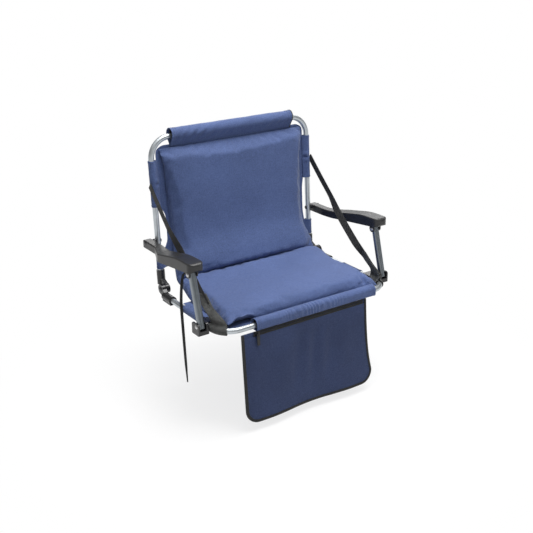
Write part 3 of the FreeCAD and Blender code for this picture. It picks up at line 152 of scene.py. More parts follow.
class Shader(Tree):
    """A material whose textures follow the object's own coordinates."""

    def __init__(self, name):
        self.material = bpy.data.materials.new(name)
        self.material.use_nodes = True
        super().__init__(self.material.node_tree)
        self.shader = self.tree.nodes["Principled BSDF"]
        self.coords = self.node("TexCoord", {}).outputs["Object"]

    def set(self, **values):
        for key, value in values.items():
            self.shader.inputs[key.replace("_", " ")].default_value = value

    def link(self, value, socket):
        self.join(value, self.shader.inputs[socket])

    def axes(self):
        return self.node("SeparateXYZ", {0: self.coords}).outputs

    def noise(self, scale, detail):
        inputs = {"Scale": scale, "Detail": detail, "Roughness": 0.55, "Vector": self.coords}
        return self.node("TexNoise", inputs).outputs["Fac"]

    def streaks(self, scale, stretch):
        """Noise drawn out along the axes whose stretch is small."""
        place = self.node("Mapping", {"Scale": stretch, "Vector": self.coords}).outputs[0]
        return self.node("TexNoise", {"Scale": scale, "Detail": 4.0, "Vector": place}).outputs["Fac"]

    def tinted(self, colour, value, stops):
        """A colour times a ramp of shades."""
        return self.mix(1.0, colour, self.ramp(value, stops), "MULTIPLY")

    def bump(self, height, distance, strength=1.0):
        """Adds to the bumps that the shader has so far."""
        normal = self.shader.inputs["Normal"]
        inputs = {"Strength": strength, "Distance": distance, "Height": height}
        if normal.links:
            inputs["Normal"] = normal.links[0].from_socket
        self.join(self.node("Bump", inputs).outputs[0], normal)


def shades(colour, low, high):
    return tuple(c * low for c in colour), tuple(c * high for c in colour)


def woven(name, colour, pitch, depth, variation=0.1, sheen=0.2, rough=0.68):
    """Woven cloth: threads across X and along the other two axes, with slubs, flecks, fading and painted
    shade between the threads.
    """
    s = Shader(name)
    x, y, z = s.axes()
    turn = 2 * math.pi / pitch
    warp = s.math("SINE", s.math("MULTIPLY", x, turn))
    weft = s.math("SINE", s.math("MULTIPLY", s.math("ADD", y, z), turn))
    weave = s.math("MULTIPLY_ADD", s.math("MULTIPLY", warp, weft), 0.5, 0.5)
    slub_x = s.streaks(900.0, (0.06, 1.0, 1.0))
    slub_y = s.streaks(900.0, (1.0, 0.06, 0.06))
    slubs = s.math("MULTIPLY", s.math("ADD", slub_x, slub_y), 0.5)
    low, high = shades(colour, 1 - variation, 1 + variation)
    tint = s.ramp(s.noise(7.0, 5.0), [(0.3, low), (0.7, high)])
    # Painted shade between the threads: the colour drops to 0.8 where the weave dips.
    tint = s.tinted(tint, weave, [(0.1, grey(0.8)), (0.7, grey(1.0))])
    tint = s.tinted(tint, slubs, [(0.35, (0.86, 0.86, 0.88)), (0.65, (1.1, 1.1, 1.08))])
    tint = s.tinted(tint, s.noise(330.0, 2.0), [(0.3, (0.84, 0.84, 0.85)), (0.7, (1.16, 1.16, 1.15))])
    s.link(tint, "Base Color")
    s.link(s.scaled(slubs, 0.2, rough - 0.1), "Roughness")
    s.set(Sheen_Weight=sheen, Sheen_Roughness=0.45, Specular_IOR_Level=0.25)
    s.bump(weave, depth)
    s.bump(slubs, depth * 1.5, 0.5)
    s.bump(s.noise(45.0, 4.0), 0.0012, 0.35)
    return s.material


def webbing(name, colour, rib=0.0021):
    """Coarse woven tape with diagonal ribs, painted shade in their hollows and painted highlight on them,
    and a little dust.
    """
    s = Shader(name)
    x, y, z = s.axes()
    turn = 2 * math.pi / rib
    run = s.math("ADD", s.math("SUBTRACT", z, y), s.math("MULTIPLY", x, 0.7))
    cross = s.math("ADD", s.math("ADD", z, y), s.math("MULTIPLY", x, 0.9))
    ribs = s.math("SINE", s.math("MULTIPLY", run, turn))
    fine = s.math("SINE", s.math("MULTIPLY", cross, turn * 1.6))
    weave = s.math("MULTIPLY_ADD", s.math("MULTIPLY", ribs, fine), 0.5, 0.5)
    dust = s.noise(60.0, 5.0)
    low, high = shades(colour, 0.7, 1.5)
    tint = s.ramp(dust, [(0.3, low), (0.75, high)])
    # Painted shade in the rib hollows (0.55) and painted highlight on the rib crests (1.15).
    s.link(s.tinted(tint, weave, [(0.0, grey(0.55)), (0.8, grey(1.15))]), "Base Color")
    s.link(s.scaled(dust, 0.25, 0.55), "Roughness")
    s.set(Sheen_Weight=0.15, Sheen_Roughness=0.4, Specular_IOR_Level=0.35)
    s.bump(weave, 0.0003)
    return s.material


def plastic(name, colour, rough, grain):
    """Moulded plastic with a fine spark-eroded grain, smudges and paler rubbed patches."""
    s = Shader(name)
    smudge = s.noise(26.0, 5.0)
    low, high = shades(colour, 0.85, 1.25)
    s.link(s.ramp(smudge, [(0.35, low), (0.75, high)]), "Base Color")
    s.link(s.scaled(smudge, 0.3, rough - 0.15), "Roughness")
    s.set(Specular_IOR_Level=0.5)
    s.bump(s.noise(1900.0, 2.0), grain, 0.5)
    s.bump(s.noise(190.0, 2.0), grain, 0.35)
    return s.material


def metal(name, colour, rough, stretch, metallic=1.0):
    """Drawn or painted metal with fine lengthwise marks and faint dulling."""
    s = Shader(name)
    marks = s.streaks(1400.0, stretch)
    dull = s.noise(35.0, 5.0)
    low, high = shades(colour, 0.86, 1.06)
    tint = s.ramp(dull, [(0.3, low), (0.7, high)])
    s.link(s.tinted(tint, marks, [(0.3, grey(0.92)), (0.7, grey(1.04))]), "Base Color")
    uneven = s.scaled(dull, 0.18, rough - 0.09)
    s.link(s.math("ADD", uneven, s.math("MULTIPLY", marks, 0.06)), "Roughness")
    s.set(Metallic=metallic)
    s.bump(marks, 0.00006, 0.4)
    return s.material


BLUE = (0.088, 0.133, 0.302)
blue_cloth = woven("blue_cloth", BLUE, 0.0016, 0.00022)
# The pouch's cloth is darker than the seat's blue: partly a darker navy, partly painted shade for the shade
# it hangs in.
pouch_cloth = woven("pouch_cloth", (0.043, 0.063, 0.146), 0.0012, 0.00014, 0.14, 0.04, 0.74)
black_tape = webbing("black_webbing", (0.022, 0.022, 0.022))
grey_tape = webbing("grey_webbing", (0.07, 0.072, 0.07))
thread = webbing("sewing_thread", (0.05, 0.065, 0.14), 0.0008)
dark_thread = webbing("dark_thread", (0.012, 0.012, 0.013), 0.0008)
tube_paint = metal("tube_paint", (0.55, 0.59, 0.62), 0.3, (0.04, 0.04, 0.04), 0.85)
# The posts' grey is darker than bare aluminium: it holds the painted shade of the grooves along them,
# averaged in.
post_metal = metal("post_aluminium", (0.28, 0.31, 0.335), 0.34, (1.0, 1.0, 0.03))
pin_steel = metal("pin_steel", (0.6, 0.6, 0.61), 0.28, (1.0, 0.3, 0.3))
dark_steel = metal("dark_steel", (0.1, 0.1, 0.105), 0.35, (1.0, 0.3, 0.3), 0.9)
hinge_black = plastic("hinge_plastic", (0.016, 0.016, 0.018), 0.26, 0.00002)
arm_black = plastic("arm_plastic", (0.022, 0.022, 0.023), 0.36, 0.00004)
zip_black = plastic("zip_plastic", (0.012, 0.012, 0.013), 0.4, 0.00004)


def paint(material, *names):
    for name in names:
        slots = nodes[name].data.materials
        slots.clear()
        slots.append(material)


def both(name):
    return [name + "_left", name + "_right"]


paint(tube_paint, "seat_frame_tube", "back_frame_tube")
paint(post_metal, *both("arm_post"))
paint(hinge_black, *both("hinge_seat_socket"), *both("hinge_back_socket"), *both("post_bracket"),
      "arm_spacers", "hinge_washers")
paint(arm_black, *both("armrest"))
paint(pin_steel, "foot_screws", "post_lower_pins", "back_socket_rivets", *both("arm_front_rivet"))
paint(dark_steel, "hinge_pins", "arm_pivot_pins")
paint(zip_black, "zipper_slider", "zipper_pull")


# Mesh helpers

def piece(name, verts, faces, material, slot, body=None):
    mesh = bpy.data.meshes.new(name)
    mesh.from_pydata([tuple(v) for v in verts], [], faces)
    mesh.validate()
    bm = bmesh.new()
    bm.from_mesh(mesh)
    bmesh.ops.recalc_face_normals(bm, faces=bm.faces)
    bm.to_mesh(mesh)
    bm.free()
    for polygon in mesh.polygons:
        polygon.use_smooth = True
    obj = bpy.data.objects.new(name, mesh)
    bpy.context.scene.collection.objects.link(obj)
    mesh.materials.append(material)
    if body:
        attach(obj, body)
    return obj


def grid_faces(rows, columns, closed=False):
    faces = []
    for r in range(rows - 1):
        for c in range(columns if closed else columns - 1):
            d = (c + 1) % columns
            faces.append((r * columns + c, r * columns + d, (r + 1) * columns + d, (r + 1) * columns + c))
    return faces


def subdivide(obj):
    smooth = obj.modifiers.new("smooth", "SUBSURF")
    smooth.levels = 1
    smooth.render_levels = 1


def cloth_sheet(name, rows, material, slot, body, thickness, closed=False):
    """A sheet of cloth over a grid of points in millimetres, with real thickness."""
    verts = metres([p for row in rows for p in row])
    obj = piece(name, verts, grid_faces(len(rows), len(rows[0]), closed), material, slot, body)
    solid = obj.modifiers.new("thickness", "SOLIDIFY")
    solid.thickness = thickness / 1000
    solid.offset = 0.0
    subdivide(obj)
    return obj


# A stitch's rings: their place along it, and their size and rise as shares of its radius.
STITCH_RINGS = ((0.0, 0.45, -0.5), (0.2, 1.0, 0.25), (0.8, 1.0, 0.25), (1.0, 0.45, -0.5))
STITCH_CORNERS = 6


class Stitches:
    """Rows of short thread stitches gathered into one piece for a body."""

    def __init__(self, name, body, material, slot):
        self.name = name
        self.looks = (material, slot, body)
        self.verts = []
        self.faces = []

    def row(self, points, outward, length=3.4, gap=1.5, radius=0.42):
        """Stitches along a run of points in millimetres, raised toward the outward directions."""
        pts = [np.array(p, float) for p in points]
        outs = outward if isinstance(outward, list) else [outward] * len(pts)
        steps = [np.linalg.norm(b - a) for a, b in zip(pts, pts[1:])]
        reach = np.concatenate([[0.0], np.cumsum(steps)])
        count = max(1, int(reach[-1] // (length + gap)))

        def place(distance):
            k = min(max(int(np.searchsorted(reach, distance)) - 1, 0), len(steps) - 1)
            t = (distance - reach[k]) / max(steps[k], 1e-9)
            out = np.array(outs[k], float) * (1 - t) + np.array(outs[k + 1], float) * t
            return pts[k] * (1 - t) + pts[k + 1] * t, out / np.linalg.norm(out)

        for i in range(count):
            low = i * (length + gap) + gap / 2
            self.one(*place(low), *place(low + length), radius)

    def one(self, start, out_a, end, out_b, radius):
        direction = (end - start) / max(np.linalg.norm(end - start), 1e-9)
        out = out_a + out_b
        out /= np.linalg.norm(out)
        side = np.cross(direction, out)
        base = len(self.verts)
        for share, size, lift in STITCH_RINGS:
            centre = start + (end - start) * share + out * radius * lift
            for k in range(STITCH_CORNERS):
                turn = 2 * math.pi * k / STITCH_CORNERS
                offset = side * math.cos(turn) + out * math.sin(turn)
                self.verts.append(centre + offset * radius * size)
        for face in grid_faces(len(STITCH_RINGS), STITCH_CORNERS, closed=True):
            self.faces.append(tuple(base + k for k in face))
        last = len(self.verts) - STITCH_CORNERS
        self.faces.append(tuple(base + k for k in reversed(range(STITCH_CORNERS))))
        self.faces.append(tuple(last + k for k in range(STITCH_CORNERS)))

    def build(self):
        return piece(self.name, metres(self.verts), self.faces, *self.looks)


seat_stitches = Stitches("seat_stitches", "seat", thread, "blue_cloth")
back_stitches = Stitches("back_stitches", "back", thread, "blue_cloth")
tape_stitches = Stitches("tape_stitches", None, dark_thread, "black_webbing")
pouch_stitches = Stitches("pouch_stitches", "pouch", dark_thread, "black_webbing")


def lean_y(z):
    """The back panel's plane at a height."""
    return BACK_Y + (z - RAIL_Z) * LEAN


# Cushion: one padded form from the front edge over the seat, through the crease, up the back.
# Each pair is a point of the outside and the point behind it on the panels, as (y, z) from
# the foot of the back at the rails' height.
CUSHION = [
    ((-316.0, 4.0), (-312.0, 2.0)),
    ((-318.5, 12.0), (-308.0, 2.0)),
    ((-317.0, 22.0), (-304.0, 2.0)),
    ((-309.5, 29.5), (-298.0, 2.0)),
    ((-293.0, 33.0), (-286.0, 2.0)),
    ((-260.0, 35.5), (-258.0, 2.0)),
    ((-215.0, 37.0), (-215.0, 2.0)),
    ((-165.0, 38.0), (-165.0, 2.0)),
    ((-120.0, 42.0), (-118.0, 5.0)),
    ((-88.0, 48.0), (-88.0, 14.0)),
    ((-72.0, 50.5), (-74.0, 18.5)),
    ((-62.0, 49.0), (-62.0, 21.5)),
    ((-53.0, 42.0), (-52.0, 23.5)),
    ((-58.0, 48.0), (-42.0, 26.0)),
    ((-59.0, 56.0), (-33.0, 31.0)),
    ((-56.0, 68.0), (-26.0, 42.0)),
    ((-49.5, 85.0), (-17.0, 58.0)),
    ((-41.0, 107.0), (-7.0, 82.0)),
    ((-31.5, 136.0), (1.0, 115.0)),
    ((-24.0, 175.0), (6.5, 160.0)),
    ((-20.0, 220.0), (9.3, 212.0)),
    ((-16.5, 265.0), (11.8, 260.0)),
    ((-13.5, 305.0), (14.0, 302.0)),
    ((-11.5, 332.0), (15.7, 331.0)),
    ((-9.8, 349.0), (16.6, 348.0)),
    ((-6.8, 358.5), (17.0, 358.0)),
    ((0.5, 366.0), (17.4, 366.0)),
    ((8.0, 372.5), (17.8, 372.0)),
    ((15.0, 378.5), (18.2, 376.5)),
]
CREASE = 12
SEAT_ROWS = 62
BACK_ROWS = 66
STATIONS = 97
SEAT_HALF = 236.0
SEAT_BULGE = {-1: 0.0, 1: 7.0}
FOLD_HALF = {-1: 223.0, 1: 233.0}
LOIN_HALF = {-1: 215.0, 1: 226.0}
BACK_HALF = 227.0
BACK_TOP = 378.0
SEAT_SQUARENESS = 22.0
BACK_SQUARENESS = 12.0
LUMBAR = 6.0
USUAL_DEPTH = 30.0
SWELL_CAP = 6.0
EAR_REACH = 4.0
START_INSET = 4.5

# The cloth's settings while it swells over its filling.
SWELL_FRAMES = 20
SWELL_SETTINGS = {
    "quality": 6, "mass": 0.25, "tension_stiffness": 22, "compression_stiffness": 12,
    "shear_stiffness": 8, "bending_stiffness": 0.35, "air_damping": 3, "use_pressure": True,
    "uniform_pressure_force": 4.0, "shrink_min": -0.022, "vertex_group_mass": "held",
}


def fullness(edge, power=SEAT_SQUARENESS):
    """The share of its height that the cushion keeps, from its middle (0) to its side seam (1)."""
    return (1 - 0.1 * edge ** 4) * (0.2 + 0.8 * math.sqrt(max(0.0, 1 - edge ** power)))


def run_lengths(points):
    steps = [np.linalg.norm(np.subtract(b, a)) for a, b in zip(points, points[1:])]
    return np.concatenate([[0.0], np.cumsum(steps)])


def cushion_profile():
    """Evenly spaced outside points and the points behind them, one of them in the crease."""
    fine = 24
    count = (len(CUSHION) - 1) * fine + 1
    outside = np.array(catmull([pair[0] for pair in CUSHION], count))
    behind = np.array(catmull([pair[1] for pair in CUSHION], count))
    reach = run_lengths(outside)
    crease = reach[CREASE * fine]
    along = np.concatenate([np.linspace(0.0, crease, SEAT_ROWS),
                            np.linspace(crease, reach[-1], BACK_ROWS)[1:]])
    pick = [np.column_stack([np.interp(along, reach, side[:, k]) for k in (0, 1)])
            for side in (outside, behind)]
    return pick[0], pick[1], along


def cushion_half(row, side):
    """Half the cushion's width at a row: drawn in between its corners and at the crease."""
    fold, loin = FOLD_HALF[side], LOIN_HALF[side]
    if row < SEAT_ROWS:
        inner = row / (SEAT_ROWS - 1)
        bulge = SEAT_BULGE[side] * ease(inner, 0.1, 0.35) * (1 - ease(inner, 0.85, 1.0))
        return SEAT_HALF - 2.0 * math.sin(math.pi * inner) - (SEAT_HALF - fold) * inner ** 4 + bulge
    inner = (row - SEAT_ROWS + 1) / (BACK_ROWS - 1)
    waist = fold + (loin - fold) * ease(inner, 0.0, 0.22)
    return waist + (BACK_HALF - loin) * ease(inner, 0.15, 1.0) ** 0.8


def station_shares():
    """Places across the cushion, evenly spaced over its top and down its sides."""
    shares = np.linspace(-1.0, 1.0, 4001)
    reach = run_lengths([(s * BACK_HALF, USUAL_DEPTH * fullness(abs(s))) for s in shares])
    return np.interp(np.linspace(0.0, reach[-1], STATIONS), reach, shares)


STATION_SHARES = station_shares()


def cushion_mesh():
    """The cushion's outside and underside as rows of points, before it swells."""
    outside, behind, along = cushion_profile()
    last = len(along) - 1
    top = []
    under = []
    for row in range(last + 1):
        halves = {side: cushion_half(row, side) - START_INSET * 0.6 for side, word in SIDES}
        onto_back = ease(row, SEAT_ROWS + 2, SEAT_ROWS + 16)
        power = SEAT_SQUARENESS + (BACK_SQUARENESS - SEAT_SQUARENESS) * onto_back
        free = min(1.0, min(row, last - row) / 4, abs(row - SEAT_ROWS + 1) / 5)
        tuck = 0.012 + 0.036 * ease(row, SEAT_ROWS + 8, SEAT_ROWS + 20) * ease(last - row, 0, 10)
        rear = behind[row]
        depth = outside[row] - rear
        start = rear + depth * (1 - START_INSET * free / np.linalg.norm(depth))
        top_row = []
        under_row = []
        for share in STATION_SHARES:
            half = halves[1 if share > 0 else -1]
            full = fullness(abs(share), power)
            y, z = rear + (start - rear) * full
            top_row.append((share * half * (1 - tuck * (1 - full)), y + BACK_Y, z + RAIL_Z))
            under_row.append((share * half * (1 - tuck), rear[0] + BACK_Y, rear[1] + RAIL_Z))
        top.append(top_row)
        under.append(under_row)
    return top, under, along


def cushion_piece():
    top, under, along = cushion_mesh()
    rows = len(top)
    columns = STATIONS
    offset = rows * columns
    grid = grid_faces(rows, columns)
    faces = grid + [tuple(offset + k for k in reversed(face)) for face in grid]
    border = [(0, c) for c in range(columns)]
    border += [(r, columns - 1) for r in range(1, rows)]
    border += [(rows - 1, c) for c in range(columns - 2, -1, -1)]
    border += [(r, 0) for r in range(rows - 2, 0, -1)]
    for a, b in zip(border, border[1:] + border[:1]):
        first = a[0] * columns + a[1]
        second = b[0] * columns + b[1]
        faces.append((first, offset + first, offset + second, second))
    verts = metres([p for row in top + under for p in row])
    obj = piece("cushion", verts, faces, blue_cloth, "blue_cloth")
    held = [offset + k for k in range(offset)]
    held += [(SEAT_ROWS - 1) * columns + c for c in range(columns)]
    swell(obj, held, SWELL_CAP / 1000)
    crease_cloth(obj, along)
    subdivide(obj)
    return obj


def swell(obj, held, cap):
    """Let the cloth swell over its filling for a few frames, then keep the result."""
    scene = bpy.context.scene
    group = obj.vertex_groups.new(name="held")
    group.add(held, 1.0, "REPLACE")
    before = np.array([v.co for v in obj.data.vertices])
    cloth = obj.modifiers.new("swell", "CLOTH")
    for key, value in SWELL_SETTINGS.items():
        setattr(cloth.settings, key, value)
    cloth.settings.effector_weights.gravity = 0.0
    cloth.collision_settings.use_collision = False
    cloth.point_cache.frame_start = 1
    cloth.point_cache.frame_end = SWELL_FRAMES
    for step in range(1, SWELL_FRAMES + 1):
        scene.frame_set(step)
    evaluated = obj.evaluated_get(bpy.context.evaluated_depsgraph_get())
    after = np.array([v.co for v in evaluated.data.vertices])
    obj.modifiers.remove(cloth)
    obj.vertex_groups.clear()
    scene.frame_set(1)
    shift = after - before
    length = np.linalg.norm(shift, axis=1, keepdims=True)
    shift *= np.minimum(1.0, cap / np.maximum(length, 1e-9))
    for vertex, place in zip(obj.data.vertices, before + shift):
        vertex.co = place
    obj.data.update()


def crease_depth(row, x, front, height, along, edge):
    """How far the cushion's cloth stands out at a point, in millimetres."""
    seam = bump(edge, 1.0, 0.075)
    depth = 0.8 * seam * math.sin(along / 2.7 + 2.2 * math.sin(along / 21.0) + 0.4 * math.copysign(1, x))
    if row >= SEAT_ROWS:
        crown = 160 - 34 * (x / 200) ** 2
        depth += LUMBAR * ease(height, 44, 58) * (1 - ease(height, 80, crown)) * (1 - edge ** 4)
        slack = ripple((x + 0.8 * height) / 40, (x - height) / 130, 2.0)
        depth += 0.8 * slack * (0.45 + 0.55 * bump(x, -130, 110)) * (1 - seam)
        depth += 0.5 * bump(height, 374, 7) * math.sin(x / 3.1 + 1.7 * math.sin(x / 23.0))
        for corner, word in SIDES:
            aside = x - corner * BACK_HALF
            reach = math.hypot(aside, height - BACK_TOP)
            swing = math.atan2(BACK_TOP - height, abs(aside) + 1)
            depth += 0.7 * math.sin(13 * swing + corner) * bump(reach, 38, 30)
        return depth
    depth += 0.5 * ripple(x / 62, front / 50, 7.0) * (1 - seam)
    rim = bump(front, -307, 24)
    depth -= 5.0 * bump(x, 196, 5.0) * rim
    depth += (2.4 * bump(x, 187, 6.0) + 2.2 * bump(x, 206, 6.5)) * rim
    depth += 3.2 * math.sin((x + 228) / 4.6) * bump(x, -213, 17) * bump(front, -314, 15)
    depth += 1.6 * math.sin((x + front) / 6.0) * bump(x, -222, 14) * bump(front, -70, 26)
    return depth


def crease_cloth(obj, along):
    """Puckers along the side seams, slack folds on the back, and the gathered front corners."""
    normals = [vertex.normal.copy() for vertex in obj.data.vertices]
    for index in range(len(along) * STATIONS):
        vertex = obj.data.vertices[index]
        row, column = divmod(index, STATIONS)
        x, y, z = (c * 1000 for c in vertex.co)
        edge = abs(STATION_SHARES[column])
        depth = crease_depth(row, x, y - BACK_Y, z - RAIL_Z, along[row], edge)
        free = min(1.0, min(row, len(along) - 1 - row) / 2, abs(row - SEAT_ROWS + 1) / 3)
        vertex.co += normals[index] * (depth * free / 1000)
    for index, vertex in enumerate(obj.data.vertices):
        row = index // STATIONS % len(along)
        x, y, z = (c * 1000 for c in vertex.co)
        near = 1 - ease(row, 1, 9)
        vertex.co.z += hem_lift(x) * near * (1 - ease(z - RAIL_Z, 6, 30)) / 1000
        for corner, word in SIDES:
            ear = EAR_REACH * bump(x, corner * SEAT_HALF, 20) * near
            vertex.co.x += corner * ear / 1000
            vertex.co.y -= ear / 1000


def hem_lift(x):
    """The rise of the cushion's lower front edge by the left corner, where the roll leaves it bare."""
    wave = 3.2 * math.sin((x + 246) / 5.2) * bump(x, -215, 26)
    return (10.0 + 7.0 * ease(x, -236, -205) + wave) * (1 - ease(x, -172, -140))


cushion = cushion_piece()
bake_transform(cushion)
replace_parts(cushion, "seat_cushion_cover", "seat_cushion_foam", "cushion_fold",
            "back_cushion_cover", "back_cushion_foam")


# Panels behind and under the cushion

STITCH_INSETS = (7.0, 12.0)
STITCH_LIFT = 0.75
PANEL_LOW = 72.0
PANEL_HIGH = 397.0
PANEL_HALF = 232.0
PANEL_ROUNDING = 20.0
PANEL_BAY = {-1: 15.0, 1: 5.0}


def panel_rows(width, place, rows=46, columns=70):
    """Rows of points over a panel, from its half width and its places at shares of its length."""
    shares = [2 * c / (columns - 1) - 1 for c in range(columns)]
    lengths = [r / (rows - 1) for r in range(rows)]
    return [[place(u * width(v, u), v) for u in shares] for v in lengths]


def rounded(corner):
    """How far a quarter circle of radius 1 has turned in, at a share of its height."""
    return 1 - math.sqrt(max(0.0, 1 - corner ** 2))


def back_panel_point(x, v):
    z = PANEL_LOW + (PANEL_HIGH - PANEL_LOW) * v
    sag = 1.4 * ripple(x / 60, z / 45, 3.0) * (1 - (2 * v - 1) ** 6)
    return (x, lean_y(z) + 0.9 + 0.5 * sag, z)


def back_panel_width(v, side):
    z = PANEL_LOW + (PANEL_HIGH - PANEL_LOW) * v
    bay = ease(z, 108, 150) * (1 - ease(z, 210, 246))
    corner = max(0.0, v - 0.94) / 0.06
    return PANEL_HALF - PANEL_ROUNDING * rounded(corner) - PANEL_BAY[1 if side > 0 else -1] * bay


back_cloth = cloth_sheet("back_panel_cloth", panel_rows(back_panel_width, back_panel_point),
                         blue_cloth, "blue_cloth", "back", 1.0)
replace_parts(back_cloth, "back_panel")
for inset in STITCH_INSETS:
    runs = []
    for side, word in SIDES:
        shares = [v / 40 for v in range(2, 38)]
        runs.append([back_panel_point(side * (back_panel_width(v, side) - inset), v) for v in shares])
    runs.append([back_panel_point(-224 + 448 * k / 30, inset / 319) for k in range(31)])
    for run in runs:
        back_stitches.row([(x, y + STITCH_LIFT, z) for x, y, z in run], (0, 1, 0))

PANEL_FRONT = FRONT_Y + 13.5
PANEL_REAR = 54.0
SEAT_PANEL_HALF = 245.0


def seat_panel_point(x, v):
    y = PANEL_FRONT + (PANEL_REAR - PANEL_FRONT) * v
    sag = 0.6 * ripple(x / 55, y / 40, 5.0) * (1 - (2 * v - 1) ** 6)
    return (x, y, RAIL_Z - 0.3 + 0.5 * sag)


def seat_panel_width(v, side):
    """Half the seat panel's width, the same on either side."""
    return SEAT_PANEL_HALF - 30.0 * rounded(max(0.0, 0.145 - v) / 0.145)


seat_cloth = cloth_sheet("seat_panel_cloth", panel_rows(seat_panel_width, seat_panel_point),
                         blue_cloth, "blue_cloth", "seat", 1.0)
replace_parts(seat_cloth, "seat_panel")
for inset in STITCH_INSETS:
    for side, word in SIDES:
        run = [seat_panel_point(side * (SEAT_PANEL_HALF - inset), v / 20) for v in range(4, 20)]
        seat_stitches.row([(x, y, z - STITCH_LIFT) for x, y, z in run], (0, 0, -1))


# Sleeves

TUBE_CLEAR = 8.1
LOOP_RADIUS = 8.5
LOOP_REACH = 16.0
LOOP_SEAM = 0.9
STITCH_RADIUS = 9.5
STITCH_END = 4.0

# Each sleeve's start along its tube, and its length.
UPPER_SLEEVE = (240.5, 121.0)
LOWER_SLEEVE = (72.5, 43.0)
RAIL_SLEEVE = (-55.5, 78.0)


def loop_section():
    """A loop of cloth round a tube, drawn to its seam: pairs (toward the seam, across)."""
    spread = math.acos(LOOP_RADIUS / LOOP_REACH)
    touch = (LOOP_RADIUS * math.cos(spread), LOOP_RADIUS * math.sin(spread))
    seam = (LOOP_REACH, LOOP_SEAM)
    straight = [tuple(a + (b - a) * k / 7 for a, b in zip(seam, touch)) for k in range(7)]
    arc = []
    for k in range(23):
        angle = -spread - (2 * math.pi - 2 * spread) * k / 22
        arc.append((LOOP_RADIUS * math.cos(angle), LOOP_RADIUS * math.sin(angle)))
    return [(u, -w) for u, w in straight] + arc + straight[::-1]


def tube_sleeve(name, node, body, place, length, pinch, seed):
    """A cloth sleeve along a tube, creased across where a strap is sewn on."""
    section = loop_section()
    count = int(length / 2.2)
    rows = []
    for r in range(count):
        s = length * r / (count - 1)
        ends = bump(s, 0.0, 4.0) + bump(s, length, 4.0)
        fold = 0.0
        if pinch is not None:
            fold = 2.4 * bump(s, pinch + 9, 6.5) + 1.8 * bump(s, pinch - 9, 6.5)
            fold -= 3.4 * bump(s, pinch, 2.4)
        row = []
        for k, (u, w) in enumerate(section):
            slack = ripple(k / 3.4, s / 10.0, seed)
            free = bump(u, 0.5 * LOOP_REACH, 0.38 * LOOP_REACH)
            across = abs(w) + (fold + 0.9 * slack + 0.5 * ends) * free
            across = math.copysign(max(LOOP_SEAM * 0.6, across), w)
            toward = u - max(0.0, 0.5 * slack + 0.5 * ends) if u < 0 else u
            radius = math.hypot(toward, across)
            if radius < TUBE_CLEAR and abs(toward) < TUBE_CLEAR:
                toward, across = toward * TUBE_CLEAR / radius, across * TUBE_CLEAR / radius
            row.append(place(s, toward, across))
        rows.append(row)
    obj = cloth_sheet(name, rows, blue_cloth, "blue_cloth", body, 1.0)
    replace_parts(obj, node)
    stitches = back_stitches if body == "back" else seat_stitches
    for s in (STITCH_END, length - STITCH_END):
        middle = np.array(place(s, 0.0, 0.0))
        turns = [math.radians(70 + 11 * k) for k in range(21)]
        ring = [place(s, STITCH_RADIUS * math.cos(a), STITCH_RADIUS * math.sin(a)) for a in turns]
        stitches.row(ring, [np.array(p) - middle for p in ring])


STRAP_SEAM = RAIL_Z + 288.0


def upright_place(side, low):
    return lambda s, u, w: (side * (BACK_X - u), lean_y(low + s) + w, low + s)


def rail_place(side, rear):
    return lambda s, u, w: (side * (RAIL_X - u), rear + s, RAIL_Z + w)


for side, word in SIDES:
    for name, (low, length), pinch, seed in (
            ("upper", UPPER_SLEEVE, STRAP_SEAM - UPPER_SLEEVE[0], 4.0), ("lower", LOWER_SLEEVE, None, 6.0)):
        tube_sleeve(f"{name}_sleeve_{word}", f"{name}_side_sleeve_{word}", "back",
                    upright_place(side, low), length, pinch, side + seed)
    low, length = RAIL_SLEEVE
    tube_sleeve("rail_sleeve_" + word, "seat_sleeve_" + word, "seat",
                rail_place(side, low), length, None, side + 8.0)


def spokes(ring):
    """Unit directions from a ring's middle through its points."""
    arms = np.array(ring) - np.mean(np.array(ring), axis=0)
    return arms / np.linalg.norm(arms, axis=1, keepdims=True)


def end_hem(name, rows, body):
    """A dark bound edge over the first of the given rows of a roll."""
    edge = np.array(rows[0])
    across = np.array(rows[1][0]) - edge[0]
    step = across / np.linalg.norm(across)
    band = [edge + 0.7 * spokes(edge) + step * shift for shift in (-0.6, 0.8, 2.4)]
    return cloth_sheet(name, band, black_tape, "black_webbing", body, 1.0, closed=True)


def inner_shade_sheet(name, rows, body):
    """A near-black sheet over the inner face of a roll: painted shade where its open ends show the inside.
    """
    inner = [np.array(row) - 1.3 * spokes(row) for row in rows[1:-1]]
    return cloth_sheet(name, inner, black_tape, "black_webbing", body, 0.6, closed=True)


def roll(name, x0, x1, section, crumple, body, node, flat, columns, hemmed):
    """A loose roll of cloth round a bar, open at both ends, with gathers."""
    outs = spokes(section)
    rows = []
    for c in range(columns):
        u = c / (columns - 1)
        x = x0 + (x1 - x0) * u
        row = []
        for k, ((y, z), out) in enumerate(zip(section, outs)):
            depth = crumple(x, u, k / len(section))
            row.append((x, y + out[0] * depth, z + out[1] * depth))
        rows.append(row)
    obj = cloth_sheet(name, rows, blue_cloth, "blue_cloth", body, 1.3, closed=True)
    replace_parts(obj, node)
    # The near-black sheet inside the roll is painted shade for its hollow inside; the hem is a real bound
    # edge.
    trims = [inner_shade_sheet(name + "_lining", rows[::4] + rows[-1:], body)]
    if hemmed:
        trims.append(end_hem(name + "_hem", rows[::-1], body))
    return rows


def ring_stitches(stitches, rows, places):
    """Rows of stitches round a roll at the given columns."""
    for place in places:
        outs = spokes(rows[place])
        stitches.row(np.array(rows[place]) + STITCH_LIFT * outs, list(outs))


TOP_ROLL = (-189.0, 189.0)
TOP_ROLL_RADIUS = 15.6
TOP_ROLL_SEAM = 392.0
TOP_ROLL_RISE = 23.0
FRONT_ROLL = (-169.0, 207.0)
SEAM_HALF = 0.8


